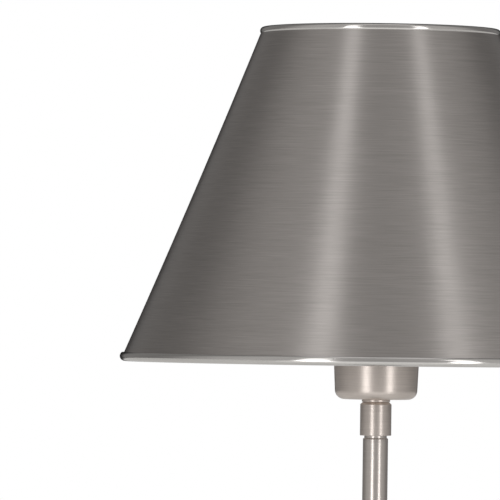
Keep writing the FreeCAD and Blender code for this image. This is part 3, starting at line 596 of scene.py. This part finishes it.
def arm_mesh(name, bearing):
    """One arm: a flat closed strip carried along a bent path in the arm's upright plane.

    Over distance d along the path and angle b round the strip: the width is a superellipse's
    cosine side, the thickness its sine side, so the edges are slightly rounded. Both faces
    are lifted by the rib, RIB_HEIGHT exp(-(across / RIB_WIDTH)^2), faded out at its ends, and
    the inner face of the foot is sunk at each weld by a small round dent.
    """
    foot_top = hub_level + FOOT_HEIGHT
    stand_off = SKIN_WALL + FOOT_GAP + FOOT_WALL / 2
    path = rounded([
        (HUB_RADIUS - ARM_LAP, hub_level),
        (skin_radius(hub_level) - stand_off, hub_level, FOOT_BEND),
        (skin_radius(foot_top) - stand_off, foot_top),
    ])
    steps = np.linalg.norm(np.diff(path, axis=0), axis=1)
    reach = np.concatenate([[0.0], np.cumsum(steps)])
    rows = int(reach[-1] / ARM_STEP)
    distance = np.linspace(0.0, reach[-1], rows)
    line = np.stack([np.interp(distance, reach, path[:, axis]) for axis in (0, 1)], axis=-1)
    slope = np.gradient(line, axis=0)
    slope /= np.linalg.norm(slope, axis=1)[:, None]
    normal = np.stack([-slope[:, 1], slope[:, 0]], axis=-1)
    upright = np.clip((slope[:, 1] - UPRIGHT_FROM) / UPRIGHT_SPAN, 0.0, 1.0)
    half_wall = (ARM_WALL + (FOOT_WALL - ARM_WALL) * upright)[:, None] / 2
    loop = np.linspace(0.0, 2 * np.pi, 2 * ARM_COLUMNS, endpoint=False)[None, :]
    side = np.sign(np.cos(loop)) * np.abs(np.cos(loop)) ** ARM_EDGE_POWER
    across = ARM_WIDTH / 2 * side
    across = across * np.ones_like(half_wall)
    face = np.sign(np.sin(loop)) * np.abs(np.sin(loop)) ** ARM_FACE_POWER
    bend_start = reach[-1] - FOOT_HEIGHT
    fade = np.clip(distance / RIB_END, 0, 1) * np.clip((bend_start - distance) / RIB_END, 0, 1)
    rib = RIB_HEIGHT * fade[:, None] * np.exp(-(across / RIB_WIDTH) ** 2)
    dent = np.zeros_like(across)
    for weld in WELDS:
        off = (distance - bend_start - weld)[:, None]
        dent += np.exp(-(off ** 2 + across ** 2) / WELD_RADIUS ** 2)
    out = half_wall * face + rib - WELD_DEPTH * dent * (face > 0.5)
    radius = line[:, :1] + normal[:, :1] * out
    height = line[:, 1:] + normal[:, 1:] * out
    cosine, sine = np.cos(bearing), np.sin(bearing)
    points = np.stack([radius * cosine - across * sine, radius * sine + across * cosine,
                       height], axis=-1)
    count = points.shape[1]
    row = np.arange(rows - 1)[:, None]
    column = np.arange(count)[None, :]
    beside = (column + 1) % count
    faces = np.stack([row * count + column, row * count + beside,
                      (row + 1) * count + beside, (row + 1) * count + column], axis=-1)
    caps = [list(range(count)), list(range((rows - 1) * count, rows * count))]
    return skinned(name, points.reshape(-1, 3), faces.reshape(-1, 4).tolist() + caps)


turned_piece("spider_hub", [
    (SLEEVE, hub_level - HUB_WALL / 2),
    (HUB_RADIUS, hub_level - HUB_WALL / 2, SMALL_ROUND),
    (HUB_RADIUS, hub_level + HUB_WALL / 2, SMALL_ROUND),
    (SLEEVE, hub_level + HUB_WALL / 2),
], zinc_steel, "head", "zinc_steel", "shade_spider", around=AROUND_SMALL)
for number in range(ARMS):
    name = "spider_arm_%d" % (number + 1)
    mesh = arm_mesh(name, FIRST_ARM + 2 * np.pi * number / ARMS)
    add_piece(name, mesh, zinc_steel, "head", "zinc_steel", "shade_spider")


# ------------------------------------------------------------------ lamp holder
# A black moulded E27 holder: a ribbed cap, a body threaded outside, and two fluted rings that
# clamp the carrier between them. Inside are a ceramic insert, a threaded brass shell and the
# centre contact.

holder_plastic = mottled("holder_plastic", (0.030, 0.029, 0.028), (0.020, 0.019, 0.018), 0.30,
                         1100.0, 60.0, 0.10)
CAP_RIBS = 48
CAP_RIB_DEPTH = 0.0004
CAP_ENTRY = 0.0090
CAP_SHOULDER = 0.0080
CAP_FLOOR = 0.0080
HOLDER_WALL = 0.0020
HOLDER_LIP = 0.0152
HOLDER_PITCH = 0.0025
HOLDER_THREAD = 0.0006
RING_FLUTES = 24
RING_FLUTE_DEPTH = 0.0007
RING_LIP = 0.0020
RING_BAND = 0.0008
EDGE_ROUND = 0.0006
CAP_CORNER_ROUND = 0.003
CAP_LIP_STEP = 0.0006
SURFACE_BAND = 0.0002
THREAD_FROM_FOOT = 0.001
THREAD_FROM_LIP = 0.002
HOLDER_AROUND = 144


def divided(outline, step):
    """A closed outline with points added along its sides, none further apart than a step."""
    outline = np.asarray(outline, dtype=float)
    loop = np.concatenate([outline, outline[:1]])
    reach = np.concatenate([[0.0], np.cumsum(np.linalg.norm(np.diff(loop, axis=0), axis=1))])
    places = np.unique(np.concatenate([reach[:-1], np.arange(0.0, reach[-1], step)]))
    return np.stack([np.interp(places, reach, loop[:, axis]) for axis in (0, 1)], axis=-1)


def thread(pitch, depth, beyond, low, high):
    """A rounded thread on the surface beyond a radius, between two heights: the radius falls
    by half the depth times one plus the cosine of (height / pitch turns, less the angle)."""
    def waves(angle, radius, height):
        fade = np.clip((height - low) / pitch, 0, 1) * np.clip((high - height) / pitch, 0, 1)
        turn = np.cos(2 * np.pi * height / pitch - angle)
        return -depth / 2 * (1 + turn) * fade * (radius > beyond)
    return waves


def ribs(count, depth, beyond):
    """Upright ribs on the surface beyond a radius: the radius falls by half the depth times
    one plus the cosine of the angle times the number of ribs."""
    def waves(angle, radius, height):
        return -depth / 2 * (1 + np.cos(count * angle)) * (radius > beyond)
    return waves


cap_low, cap_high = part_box("holder_cap")
holder_radius = cap_high[0]
turned_piece("holder_cap_ribbed", [
    (THREAD_HOLE, cap_low[2]),
    (CAP_ENTRY, cap_low[2], EDGE_ROUND),
    (holder_radius, cap_low[2] + CAP_SHOULDER, CAP_CORNER_ROUND),
    (holder_radius, cap_high[2] - CAP_LIP_STEP, EDGE_ROUND / 2),
    (holder_radius - HOLDER_WALL, cap_high[2]),
    (holder_radius - HOLDER_WALL, cap_low[2] + CAP_SHOULDER + HOLDER_WALL),
    (CAP_ENTRY, cap_low[2] + CAP_FLOOR),
    (THREAD_HOLE, cap_low[2] + CAP_FLOOR),
], holder_plastic, "head", "holder_plastic", "holder_cap", around=6 * CAP_RIBS,
    waves=ribs(CAP_RIBS, CAP_RIB_DEPTH, holder_radius - SURFACE_BAND))

body_low, body_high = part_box("holder_body")
holder_outline = divided(rounded([
    (holder_radius - HOLDER_WALL, body_low[2]),
    (holder_radius, body_low[2]),
    (holder_radius, body_high[2], EDGE_ROUND),
    (HOLDER_LIP, body_high[2], EDGE_ROUND),
    (HOLDER_LIP, body_high[2] - HOLDER_WALL),
    (holder_radius - HOLDER_WALL, body_high[2] - HOLDER_WALL),
]), HOLDER_PITCH / 8)
holder_thread = thread(HOLDER_PITCH, HOLDER_THREAD, holder_radius - SURFACE_BAND,
                       body_low[2] + THREAD_FROM_FOOT, body_high[2] - THREAD_FROM_LIP)
holder_mesh = turned_mesh("holder_body_threaded", holder_outline, around=HOLDER_AROUND,
                          waves=holder_thread)
add_piece("holder_body_threaded", holder_mesh, holder_plastic, "head", "holder_plastic",
          "holder_body")

for node, flange_on_top in (("lower_shade_ring", True), ("upper_shade_ring", False)):
    low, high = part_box(node)
    root = SLEEVE + RING_LIP
    if flange_on_top:
        side = [(root, low[2], EDGE_ROUND),
                (high[0], high[2] - RING_LIP, EDGE_ROUND),
                (high[0], high[2], EDGE_ROUND)]
    else:
        side = [(high[0], low[2], EDGE_ROUND),
                (high[0], low[2] + RING_LIP, EDGE_ROUND),
                (root, high[2], EDGE_ROUND)]
    turned_piece(node + "_fluted", [(SLEEVE, low[2])] + side + [(SLEEVE, high[2])],
                 holder_plastic, "head", "holder_plastic", node, around=10 * RING_FLUTES,
                 waves=ribs(RING_FLUTES, RING_FLUTE_DEPTH, high[0] - RING_BAND))

ceramic = mottled("ceramic", (0.90, 0.88, 0.84), (0.82, 0.80, 0.75), 0.55, 1600.0, 70.0, 0.25)
brass = mottled("brass", (0.80, 0.62, 0.32), (0.66, 0.49, 0.24), 0.26, 1200.0, 80.0, 0.08,
                metal=1.0)
LAMP_PITCH = 0.0036
LAMP_THREAD = 0.0007
SHELL_WALL = 0.0004

shell_low, shell_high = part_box("thread_shell")
shell_outer = shell_high[0]
shell_outline = divided([
    (shell_outer - SHELL_WALL, shell_low[2]),
    (shell_outer, shell_low[2]),
    (shell_outer, shell_high[2]),
    (shell_outer - SHELL_WALL, shell_high[2]),
], LAMP_PITCH / 12)
shell_mesh = turned_mesh("thread_shell_pressed", shell_outline, around=AROUND_SMALL,
                         waves=thread(LAMP_PITCH, LAMP_THREAD / 4, 0.0, shell_low[2],
                                      shell_high[2]))
add_piece("thread_shell_pressed", shell_mesh, brass, "head", "brass", "thread_shell")


def dress(material, *nodes):
    """Give CAD nodes, whose own shape is right, a finished material."""
    for node in nodes:
        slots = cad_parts[node].data.materials
        if len(slots):
            for number in range(len(slots)):
                slots[number] = material
        else:
            slots.append(material)


dress(ceramic, "holder_insert")
dress(brass, "centre_contact")


# ------------------------------------------------------------------ bulb
# A round frosted bulb: a blown envelope that runs in one curve from the ball to the neck, a
# rolled aluminium screw cap, a black insulator and a soldered tip.

GLASS_WALL = 0.0009
BALL_END = radians(38)
CAP_WALL = 0.0005
TIP_RADIUS = 0.0045
CAP_TAPER = 0.0030
CAP_BEND = 0.001
CAP_LIP_ROUND = 0.0002
CAP_THREAD_BEYOND = 0.0105
CAP_THREAD_START = 0.003
CAP_THREAD_STOP = 0.004
NECK_STEP = 0.0008
BALL_STEPS = 40
CURVE_STEPS = 20
CURVE_PULL = 0.45
BULB_AROUND = 128
AROUND_TINY = 64
TIP_GAP = 0.0001
TIP_ROUND = 0.0018

bulb_metal = mottled("bulb_metal", (0.80, 0.80, 0.81), (0.68, 0.68, 0.69), 0.28, 1500.0, 90.0,
                     0.10, metal=1.0)
solder = mottled("solder", (0.62, 0.62, 0.63), (0.45, 0.45, 0.46), 0.38, 1300.0, 300.0, 0.3,
                 metal=1.0)
frosted_glass = mottled("frosted_glass", (0.97, 0.96, 0.94), (0.93, 0.92, 0.90), 0.42, 2400.0,
                        30.0, 0.05)
glass_shader = frosted_glass.node_tree.nodes["Principled BSDF"]
glass_shader.inputs["Transmission Weight"].default_value = 0.75
glass_shader.inputs["IOR"].default_value = 1.5

glass_low, glass_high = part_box("bulb_glass")
bulb_cap_low, bulb_cap_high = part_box("bulb_cap")
tip_low, tip_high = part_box("bulb_tip")
ball_radius = glass_high[0]
ball_middle = glass_high[2] - ball_radius
neck_top = bulb_cap_high[2]
bulb_neck = bulb_cap_high[0] - NECK_STEP


def bulb_side(inset):
    """The envelope's profile, set in by a wall: a circle from the top to BALL_END below the
    middle, then a cubic curve tangent to it and to the upright neck, then the neck."""
    radius = ball_radius - inset
    angle = np.linspace(np.pi / 2, -BALL_END, BALL_STEPS)
    ball = np.stack([radius * np.cos(angle), ball_middle + radius * np.sin(angle)], axis=-1)
    first = ball[-1]
    last = np.array([bulb_neck - inset, neck_top])
    pull = CURVE_PULL * np.linalg.norm(last - first)
    second = first + pull * np.array([-np.sin(BALL_END), -np.cos(BALL_END)])
    third = last + np.array([0.0, pull])
    t = np.linspace(0.0, 1.0, CURVE_STEPS)[1:, None]
    curve = ((1 - t) ** 3 * first + 3 * (1 - t) ** 2 * t * second
             + 3 * (1 - t) * t ** 2 * third + t ** 3 * last)
    foot = np.array([[bulb_neck - inset, glass_low[2]]])
    return np.concatenate([ball, curve, foot])


glass_outline = np.concatenate([bulb_side(0.0), bulb_side(GLASS_WALL)[::-1]])
glass_mesh = turned_mesh("bulb_envelope", glass_outline, around=BULB_AROUND)
add_piece("bulb_envelope", glass_mesh, frosted_glass, "head", "bulb_glass", "bulb_glass")

cap_outline = divided(rounded([
    (TIP_RADIUS, bulb_cap_low[2]),
    (bulb_cap_high[0], bulb_cap_low[2] + CAP_TAPER, CAP_BEND),
    (bulb_cap_high[0], bulb_cap_high[2], CAP_LIP_ROUND),
    (bulb_cap_high[0] - CAP_WALL, bulb_cap_high[2]),
    (bulb_cap_high[0] - CAP_WALL, bulb_cap_low[2] + CAP_TAPER + CAP_WALL, CAP_BEND),
    (TIP_RADIUS, bulb_cap_low[2] + CAP_WALL),
]), LAMP_PITCH / 12)
cap_thread = thread(LAMP_PITCH, LAMP_THREAD, CAP_THREAD_BEYOND,
                    bulb_cap_low[2] + CAP_THREAD_START, bulb_cap_high[2] - CAP_THREAD_STOP)
cap_mesh = turned_mesh("bulb_cap_rolled", cap_outline, around=AROUND_SMALL, waves=cap_thread)
add_piece("bulb_cap_rolled", cap_mesh, bulb_metal, "head", "bulb_metal", "bulb_cap")
turned_piece("bulb_insulator", [
    (0.0, bulb_cap_low[2]),
    (TIP_RADIUS - TIP_GAP, bulb_cap_low[2]),
    (TIP_RADIUS - TIP_GAP, bulb_cap_low[2] + CAP_WALL),
    (0.0, bulb_cap_low[2] + CAP_WALL),
], holder_plastic, "head", "bulb_metal", "bulb_cap", around=AROUND_TINY)
turned_piece("bulb_tip_soldered", [
    (0.0, tip_low[2]),
    (TIP_RADIUS, tip_low[2], TIP_ROUND),
    (TIP_RADIUS, tip_high[2]),
    (0.0, tip_high[2]),
], solder, "head", "brass", "bulb_tip", around=AROUND_TINY)


# ------------------------------------------------------------------ lower tube
# Drawn 22 mm tube, deburred at its top, with an acetal guide bush inside it for the sliding
# tube, which carries a plug, a glide ring and a steel keeper at its foot.

TUBE_WALL = 0.0015

tube_low, tube_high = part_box("outer_tube")
turned_piece("outer_tube_drawn", [
    (tube_high[0] - TUBE_WALL, tube_low[2]),
    (tube_high[0], tube_low[2], SMALL_ROUND),
    (tube_high[0], tube_high[2], SMALL_ROUND),
    (tube_high[0] - TUBE_WALL, tube_high[2]),
], drawn_nickel, "base", "drawn_nickel", "outer_tube")

white_nylon = mottled("white_nylon", (0.85, 0.84, 0.80), (0.78, 0.77, 0.73), 0.38, 1500.0, 50.0,
                      0.12)
black_nylon = mottled("black_nylon", (0.035, 0.035, 0.036), (0.022, 0.022, 0.023), 0.42, 1500.0,
                      60.0, 0.30)
dress(white_nylon, "guide_bush", "mast_glide", "brake_pad")
dress(black_nylon, "mast_foot_plug")
dress(zinc_steel, "foot_insert", "glide_keeper")


# ------------------------------------------------------------------ clamp
# A turned collar screwed over the lower tube's end. A thumb screw crosses it on +X: a knob
# with sixteen flutes on a threaded stud, which presses a nylon pad against the sliding tube.

CLAMP_SOCKET = 0.01105
CLAMP_SOCKET_DEPTH = 0.0160
CLAMP_BORE = 0.00808
CLAMP_ROUND = 0.0015
STUD_HOLE = 0.00305
STUD_PITCH = 0.0010
STUD_THREAD = 0.0005
KNOB_FLUTES = 16
KNOB_FLUTE_DEPTH = 0.0006
KNOB_BORE_DEPTH = 0.00805
KNOB_ROUND = 0.0015
KNOB_DISH = 0.0006
KNOB_DISH_RADIUS = 0.0055
KNOB_DISH_SLOPE = 0.0008
FLUTE_LAND = 0.1
FLUTE_POWER = 0.6
FLUTE_START = 0.8
STUD_BAND = 0.0001
STUD_AROUND = 48
STUD_DRILL_LENGTH = 0.03
ON_X = 1


def drilled(mesh, cutter):
    """The mesh less another one, cut by an exact boolean and smoothed again."""
    block = bpy.data.objects.new("block", mesh)
    tool = bpy.data.objects.new("tool", cutter)
    for item in (block, tool):
        bpy.context.collection.objects.link(item)
    cut = block.modifiers.new("cut", "BOOLEAN")
    cut.operation = "DIFFERENCE"
    cut.solver = "EXACT"
    cut.object = tool
    bpy.context.view_layer.update()
    done = block.evaluated_get(bpy.context.evaluated_depsgraph_get())
    result = bpy.data.meshes.new_from_object(done)
    bpy.data.objects.remove(block)
    bpy.data.objects.remove(tool)
    result.name = mesh.name
    result.shade_smooth()
    result.set_sharp_from_angle(angle=SMOOTH_LIMIT)
    return result


clamp_low, clamp_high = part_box("clamp_collar")
stud_low, stud_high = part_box("clamp_stud")
screw_level = (stud_low[2] + stud_high[2]) / 2
clamp_mesh = turned_mesh("clamp_collar_turned", rounded([
    (CLAMP_SOCKET, clamp_low[2]),
    (clamp_high[0], clamp_low[2], CLAMP_ROUND),
    (clamp_high[0], clamp_high[2], CLAMP_ROUND),
    (CLAMP_BORE, clamp_high[2], SMALL_ROUND),
    (CLAMP_BORE, clamp_low[2] + CLAMP_SOCKET_DEPTH),
    (CLAMP_SOCKET, clamp_low[2] + CLAMP_SOCKET_DEPTH),
]))
stud_drill = turned_mesh("stud_drill", [
    (0.0, 0.0),
    (STUD_HOLE, 0.0),
    (STUD_HOLE, STUD_DRILL_LENGTH),
    (0.0, STUD_DRILL_LENGTH),
], around=AROUND_TINY, along=ON_X, start=(0.0, 0.0, screw_level))
add_piece("clamp_collar_turned", drilled(clamp_mesh, stud_drill), satin_nickel, "base",
          "satin_nickel", "clamp_collar")

stud_radius = stud_high[1]
stud_outline = divided([
    (0.0, stud_low[0]),
    (stud_radius, stud_low[0]),
    (stud_radius, stud_high[0]),
    (0.0, stud_high[0]),
], STUD_PITCH / 8)
stud_thread = thread(STUD_PITCH, STUD_THREAD, stud_radius - STUD_BAND, stud_low[0], stud_high[0])
stud_mesh = turned_mesh("clamp_stud_threaded", stud_outline, around=STUD_AROUND, along=ON_X,
                        start=(0.0, 0.0, screw_level), waves=stud_thread)
add_piece("clamp_stud_threaded", stud_mesh, zinc_steel, "clamp_screw", "zinc_steel",
          "clamp_stud")

knob_low, knob_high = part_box("clamp_knob")
knob_radius = knob_high[2] - screw_level


def flutes(angle, radius, height):
    """Flutes with flat lands: the radius falls by the depth times the cosine of the flute
    angle above FLUTE_LAND, scaled to reach 1 and raised to FLUTE_POWER. They fade in from
    FLUTE_START of the knob's radius to its rim."""
    crest = (np.cos(KNOB_FLUTES * angle) - FLUTE_LAND) / (1 - FLUTE_LAND)
    wave = np.clip(crest, 0.0, 1.0) ** FLUTE_POWER
    inset = FLUTE_START * knob_radius
    rim = np.clip((radius - inset) / (knob_radius - inset), 0.0, 1.0)
    return -KNOB_FLUTE_DEPTH * wave * rim


knob_nickel = mottled("knob_nickel", (0.76, 0.74, 0.72), (0.66, 0.64, 0.62), 0.17, 1300.0, 120.0,
                      0.05, metal=1.0)
knob_mesh = turned_mesh("clamp_knob_fluted", rounded([
    (STUD_HOLE, knob_low[0]),
    (knob_radius, knob_low[0], KNOB_ROUND),
    (knob_radius, knob_high[0], KNOB_ROUND),
    (KNOB_DISH_RADIUS, knob_high[0], SMALL_ROUND),
    (KNOB_DISH_RADIUS - KNOB_DISH_SLOPE, knob_high[0] - KNOB_DISH, SMALL_ROUND),
    (0.0, knob_high[0] - KNOB_DISH),
    (0.0, knob_low[0] + KNOB_BORE_DEPTH),
    (STUD_HOLE, knob_low[0] + KNOB_BORE_DEPTH),
]), around=16 * KNOB_FLUTES, along=ON_X, start=(0.0, 0.0, screw_level), waves=flutes)
add_piece("clamp_knob_fluted", knob_mesh, knob_nickel, "clamp_screw", "polished_nickel",
          "clamp_knob")


# ------------------------------------------------------------------ base
# A spun cover, brushed and plated like the shade, over a cast-iron weight on a felt pad. A
# turned ferrule hides the tube's foot, and a nipple, washer and nut hold it all together.

FERRULE_WALL = 0.00245
FERRULE_FOOT = 0.0040
FERRULE_FLOOR = 0.0060
FERRULE_SOCKET = 0.01105
FERRULE_ROUND = 0.0015
COVER_WALL = 0.0012
COVER_EDGE = 0.0200
COVER_FLAT = 0.0300
COVER_ROUND = 0.0040
BUSHING_NECK = 0.0048
BUSHING_FLANGE = 0.0015
BUSHING_BORE = 0.0033
CORD_HOLE = 0.00485
CORD_DRILL_BEYOND = 0.01
PAD_HOLE = 0.0240
ON_Y = 2

ferrule_low, ferrule_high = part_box("base_ferrule")
turned_piece("base_ferrule_turned", [
    (THREAD_HOLE, ferrule_low[2]),
    (ferrule_high[0], ferrule_low[2], SMALL_ROUND),
    (ferrule_high[0], ferrule_low[2] + FERRULE_FOOT, FERRULE_ROUND),
    (FERRULE_SOCKET + FERRULE_WALL, ferrule_high[2], SMALL_ROUND),
    (FERRULE_SOCKET, ferrule_high[2], SMALL_ROUND),
    (FERRULE_SOCKET, ferrule_low[2] + FERRULE_FLOOR),
    (THREAD_HOLE, ferrule_low[2] + FERRULE_FLOOR),
], satin_nickel, "base", "satin_nickel", "base_ferrule")

cover_low, cover_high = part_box("base_cover")
bushing_low, bushing_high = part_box("cord_bushing")
cord_level = (bushing_low[2] + bushing_high[2]) / 2
cover_edge = cover_low[2] + COVER_EDGE
cover_mesh = turned_mesh("base_cover_spun", rounded([
    (cover_high[0] - COVER_WALL, cover_low[2]),
    (cover_high[0], cover_low[2], SMALL_ROUND),
    (cover_high[0], cover_edge, COVER_ROUND),
    (COVER_FLAT, cover_high[2], COVER_ROUND),
    (THREAD_HOLE, cover_high[2]),
    (THREAD_HOLE, cover_high[2] - COVER_WALL),
    (COVER_FLAT, cover_high[2] - COVER_WALL),
    (cover_high[0] - COVER_WALL, cover_edge - COVER_WALL, COVER_ROUND - COVER_WALL),
]))
cord_drill = turned_mesh("cord_drill", [
    (0.0, 0.0),
    (CORD_HOLE, 0.0),
    (CORD_HOLE, cover_high[0] + CORD_DRILL_BEYOND),
    (0.0, cover_high[0] + CORD_DRILL_BEYOND),
], around=AROUND_TINY, along=ON_Y, start=(0.0, 0.0, cord_level))
add_piece("base_cover_spun", drilled(cover_mesh, cord_drill), satin_nickel, "base",
          "satin_nickel", "base_cover")

flange = bushing_high[0]
turned_piece("cord_bushing_moulded", [
    (BUSHING_BORE, bushing_low[1], SMALL_ROUND),
    (flange, bushing_low[1], SMALL_ROUND),
    (flange, bushing_low[1] + BUSHING_FLANGE),
    (BUSHING_NECK, bushing_low[1] + BUSHING_FLANGE),
    (BUSHING_NECK, bushing_high[1] - BUSHING_FLANGE),
    (flange, bushing_high[1] - BUSHING_FLANGE),
    (flange, bushing_high[1], BUSHING_FLANGE / 2),
    (BUSHING_BORE, bushing_high[1], BUSHING_FLANGE / 3),
], black_nylon, "base", "black_nylon", "cord_bushing", around=AROUND_SMALL, along=ON_Y,
    start=(0.0, 0.0, cord_level))

cast_iron = mottled("cast_iron", (0.075, 0.075, 0.078), (0.045, 0.045, 0.047), 0.62, 420.0, 45.0,
                    0.9)
felt = mottled("felt", (0.060, 0.060, 0.066), (0.036, 0.036, 0.040), 0.95, 2600.0, 240.0, 1.0)
felt_shader = felt.node_tree.nodes["Principled BSDF"]
felt_shader.inputs["Sheen Weight"].default_value = 0.5
felt_shader.inputs["Sheen Roughness"].default_value = 0.6
dress(cast_iron, "base_weight")
pad_low, pad_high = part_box("base_pad")
turned_piece("base_pad_felt", [
    (PAD_HOLE, pad_low[2], SMALL_ROUND),
    (pad_high[0], pad_low[2], SMALL_ROUND),
    (pad_high[0], pad_high[2], SMALL_ROUND),
    (PAD_HOLE, pad_high[2], SMALL_ROUND),
], felt, "base", "felt_pad", "base_pad")


# ------------------------------------------------------------------ nuts and hollow threads
# Two thin hexagonal nuts with chamfered corners and two M10 x 1 hollow threads, zinc plated,
# with their washers: one set under the base and one set inside the cup.

NUT_FLAT = 0.0070
NUT_CHAMFER = 0.0007
NUT_AROUND = 120
NIPPLE_PITCH = 0.0010
NIPPLE_RELIEF = 0.8
NIPPLE_DEPTH = 0.0003


def hexagon(angle, radius, height):
    """Six flats: the radius is at most the flat over the cosine of the angle from it."""
    flat = NUT_FLAT / np.cos(angle % radians(60) - radians(30))
    return np.minimum(radius, flat) - radius


def threaded(name):
    """Zinc plate with a thread's relief: height is the sine of z / pitch turns less the angle
    about the axis."""
    material = mottled(name, (0.66, 0.67, 0.69), (0.50, 0.51, 0.53), 0.30, 1400.0, 90.0, 0.15,
                       metal=1.0)
    nodes, links = material.node_tree.nodes, material.node_tree.links
    place = nodes.new("ShaderNodeTexCoord")
    parts = nodes.new("ShaderNodeSeparateXYZ")
    links.new(place.outputs["Object"], parts.inputs["Vector"])
    x, y, z = (parts.outputs[axis] for axis in "XYZ")
    climb = math_node(nodes, links, "MULTIPLY", z, 2 * np.pi / NIPPLE_PITCH)
    phase = math_node(nodes, links, "SUBTRACT", climb,
                      math_node(nodes, links, "ARCTAN2", y, x))
    ridge = math_node(nodes, links, "SINE", phase)
    relief = nodes.new("ShaderNodeBump")
    relief.inputs["Strength"].default_value = NIPPLE_RELIEF
    relief.inputs["Distance"].default_value = NIPPLE_DEPTH
    links.new(ridge, relief.inputs["Height"])
    links.new(relief.outputs["Normal"], nodes["Principled BSDF"].inputs["Normal"])
    return material


for node, body in (("base_nut", "base"), ("head_nut", "head")):
    low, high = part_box(node)
    corner = high[0]
    turned_piece(node + "_hexagonal", [
        (THREAD_HOLE, low[2]),
        (corner - NUT_CHAMFER, low[2]),
        (corner, low[2] + NUT_CHAMFER / 2),
        (corner, high[2] - NUT_CHAMFER / 2),
        (corner - NUT_CHAMFER, high[2]),
        (THREAD_HOLE, high[2]),
    ], zinc_steel, body, "zinc_steel", node, around=NUT_AROUND, waves=hexagon)
dress(threaded("threaded_zinc"), "base_nipple", "head_nipple")
dress(zinc_steel, "base_washer", "head_washer")
